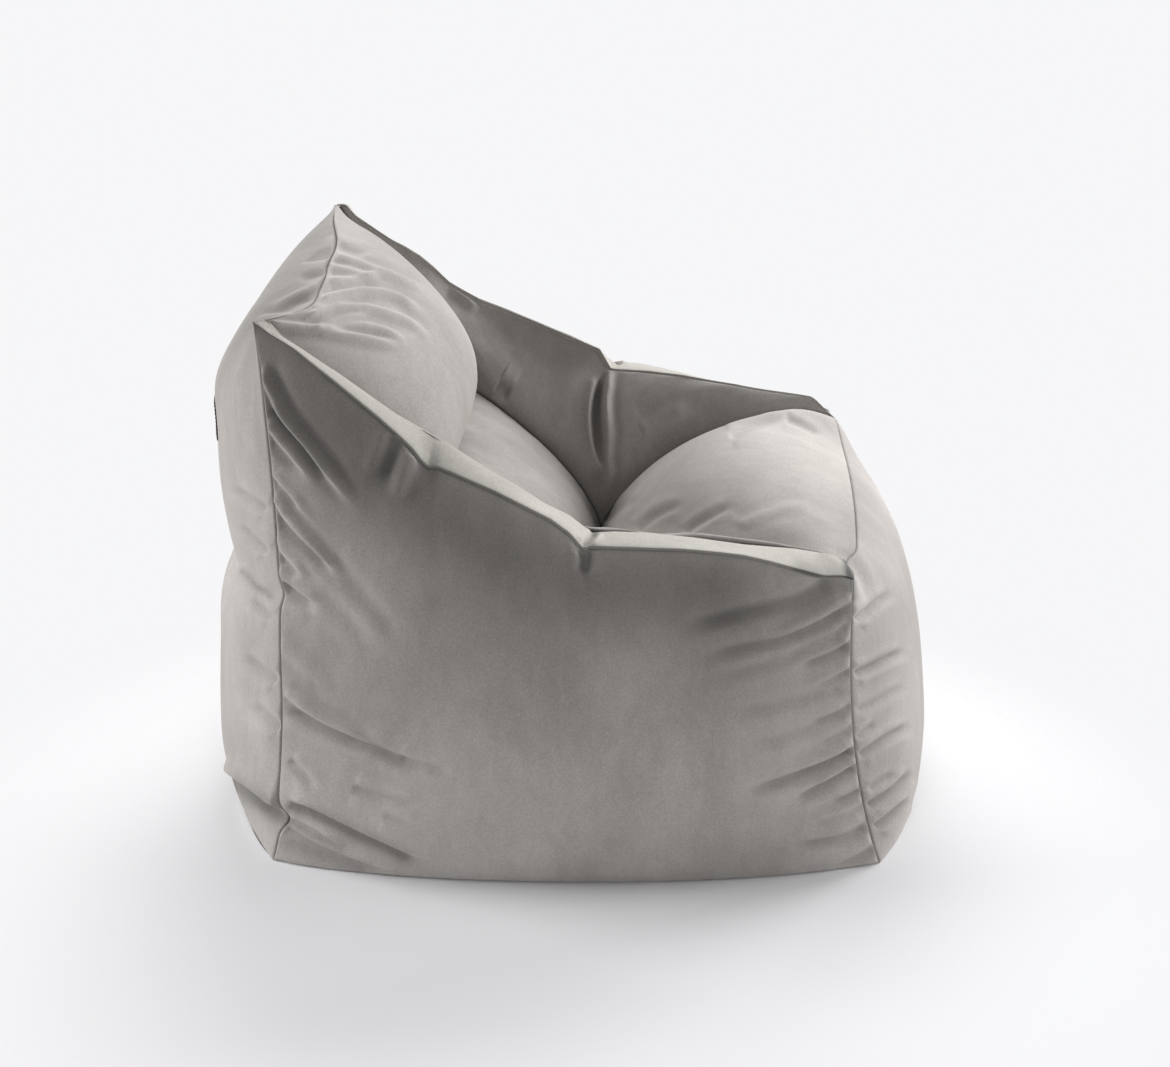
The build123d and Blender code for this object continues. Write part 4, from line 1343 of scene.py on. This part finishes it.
def bag(name, depth, floor, waves):
    """A closed bag inside the cover, clear of the cloth turned in at its seams."""
    spots = {}
    for panel, (u, v) in lines.items():
        picked = np.searchsorted(finer(u), u), np.searchsorted(finer(v), v)
        spots[panel] = indices[panel][np.ix_(*picked)]
    used, renamed = np.unique(np.concatenate([i.ravel() for i in spots.values()]), return_inverse=True)
    skins = split(renamed, spots)
    cover = smooth_points[used]
    first, second = (np.sin(cover @ wave) for wave in BAG_WAVES)
    inset = depth + BAG_SEAM_DEPTH * np.exp(-far[used] / SEAM_ALLOWANCE) + waves * (1 + first * second)
    shape = pinched(cover, cover - normals[used] * inset[:, None], skins)
    for corner, core in BAG_CORES.items():
        away = np.minimum(*[lengths(cover - s[corner]) for s in (right_seams, left_seams)])
        shape += (np.array(core) - shape) * HORN_PULL * np.exp(-(away / HORN_REACH)**2)[:, None]
    shape[:, 2] = np.maximum(shape[:, 2], floor)
    front, back = skins["front_panel"][:, 0], skins["back_panel"][:, 0]
    right, left = (skins["outer_side_panel_" + side][::-1, 0] for side, _ in SIDES)
    bottom = coons(shape[front], shape[back], shape[right], shape[left])
    index = np.zeros(bottom.shape[:2], int)
    index[1:-1, 1:-1] = len(shape) + grid_indices((index.shape[0] - 2, index.shape[1] - 2))
    index[:, 0], index[:, -1], index[0], index[-1] = front, back, right, left
    shape = np.concatenate([shape, bottom[1:-1, 1:-1].reshape(-1, 3)])
    skin = np.concatenate([*cover_faces(skins).values(), quads(index)[:, ::-1]])
    return smooth_shaded(mesh_object(name, shape, skin))


liner = bag("inner_liner_cloth", LINER_DEPTH, LINER_FLOOR, LINER_WAVES)
dressed(liner, plain_cloth("liner_nonwoven", (226, 225, 222), threads=700), "inner_liner")
fill = bag("bead_fill_pack", FILL_DEPTH, FILL_FLOOR, FILL_WAVES)
dressed(fill, bead_look("foam_beads"), "bead_fill")


# Stage and light

FLOOR_HALF, FLOOR_CENTRE, FLOOR_FADE = 9.0, (-0.32, 0, 0), (0.40, 0.90)
FLOOR_COLOUR, BACKDROP_COLOUR = (0.86, 0.86, 0.88), (0.925, 0.927, 0.94)
AMBIENT = 0.05
LAMP_TARGET = (0, 0, 0.3)
LAMPS = {  # place, size across and power
    "overhead_softbox": ((2.2, 0.0, 2.2), 2.4, 60),
    "rear_softbox": ((0.0, 3.0, 1.4), 2.2, 112),
    "front_softbox": ((0.0, -3.0, 1.4), 2.2, 50),
    "far_softbox": ((2.0, -2.4, 1.4), 2.0, 98),
    "near_fill": ((-3.2, 0.0, 1.0), 2.4, 34),
}


def make_floor():
    """A pale floor that fades out away from the chair, and isn't there from below."""
    size = FLOOR_HALF
    corners = [(-size, -size, 0), (size, -size, 0), (size, size, 0), (-size, size, 0)]
    floor = mesh_object("floor", corners, [(0, 1, 2, 3)])
    material, tree, shader = shader_of("pale_floor")
    feed(tree, shader, {"Base Color": (*FLOOR_COLOUR, 1), "Roughness": 0.9, "Specular IOR Level": 0.0})
    away = add_node(tree, "VectorMath", {0: object_place(tree), 1: FLOOR_CENTRE}, operation="DISTANCE")
    reach = {"Value": away.outputs["Value"], "From Min": FLOOR_FADE[0], "From Max": FLOOR_FADE[1]}
    fade = add_node(tree, "MapRange", reach, interpolation_type="SMOOTHSTEP").outputs["Result"]
    hidden = combined(tree, "MAXIMUM", fade, add_node(tree, "NewGeometry", {}).outputs["Backfacing"])
    clear = add_node(tree, "BsdfTransparent", {}).outputs["BSDF"]
    mixed = add_node(tree, "MixShader", {"Fac": hidden, 1: shader.outputs["BSDF"], 2: clear})
    feed(tree, tree.nodes["Material Output"], {"Surface": mixed.outputs["Shader"]})
    floor.data.materials.append(material)


def make_world():
    """A faint even light, and a pale backdrop that the camera sees."""
    world = bpy.data.worlds.new("studio")
    bpy.context.scene.world = world
    world.use_nodes = True
    tree = world.node_tree
    light = tree.nodes["Background"]
    feed(tree, light, {"Color": (1, 1, 1, 1), "Strength": AMBIENT})
    backdrop = add_node(tree, "Background", {"Color": (*BACKDROP_COLOUR, 1)}).outputs["Background"]
    path = add_node(tree, "LightPath", {})
    seen = path.outputs["Is Camera Ray"]
    for kind in ("Is Glossy Ray", "Is Transmission Ray"):
        seen = combined(tree, "MAXIMUM", seen, path.outputs[kind])
    mixed = add_node(tree, "MixShader", {"Fac": seen, 1: light.outputs["Background"], 2: backdrop})
    feed(tree, tree.nodes["World Output"], {"Surface": mixed.outputs["Shader"]})


def make_lamp(name, place, size, power):
    data = bpy.data.lights.new(name, "AREA")
    data.shape = "DISK"
    data.size = size
    data.energy = power
    lamp = linked(name, data)
    lamp.location = place
    lamp.rotation_euler = (Vector(LAMP_TARGET) - Vector(place)).to_track_quat("-Z", "Y").to_euler()


make_floor()
make_world()
for name, lamp in LAMPS.items():
    make_lamp(name, *lamp)
bpy.context.scene.view_settings.view_transform = "Standard"
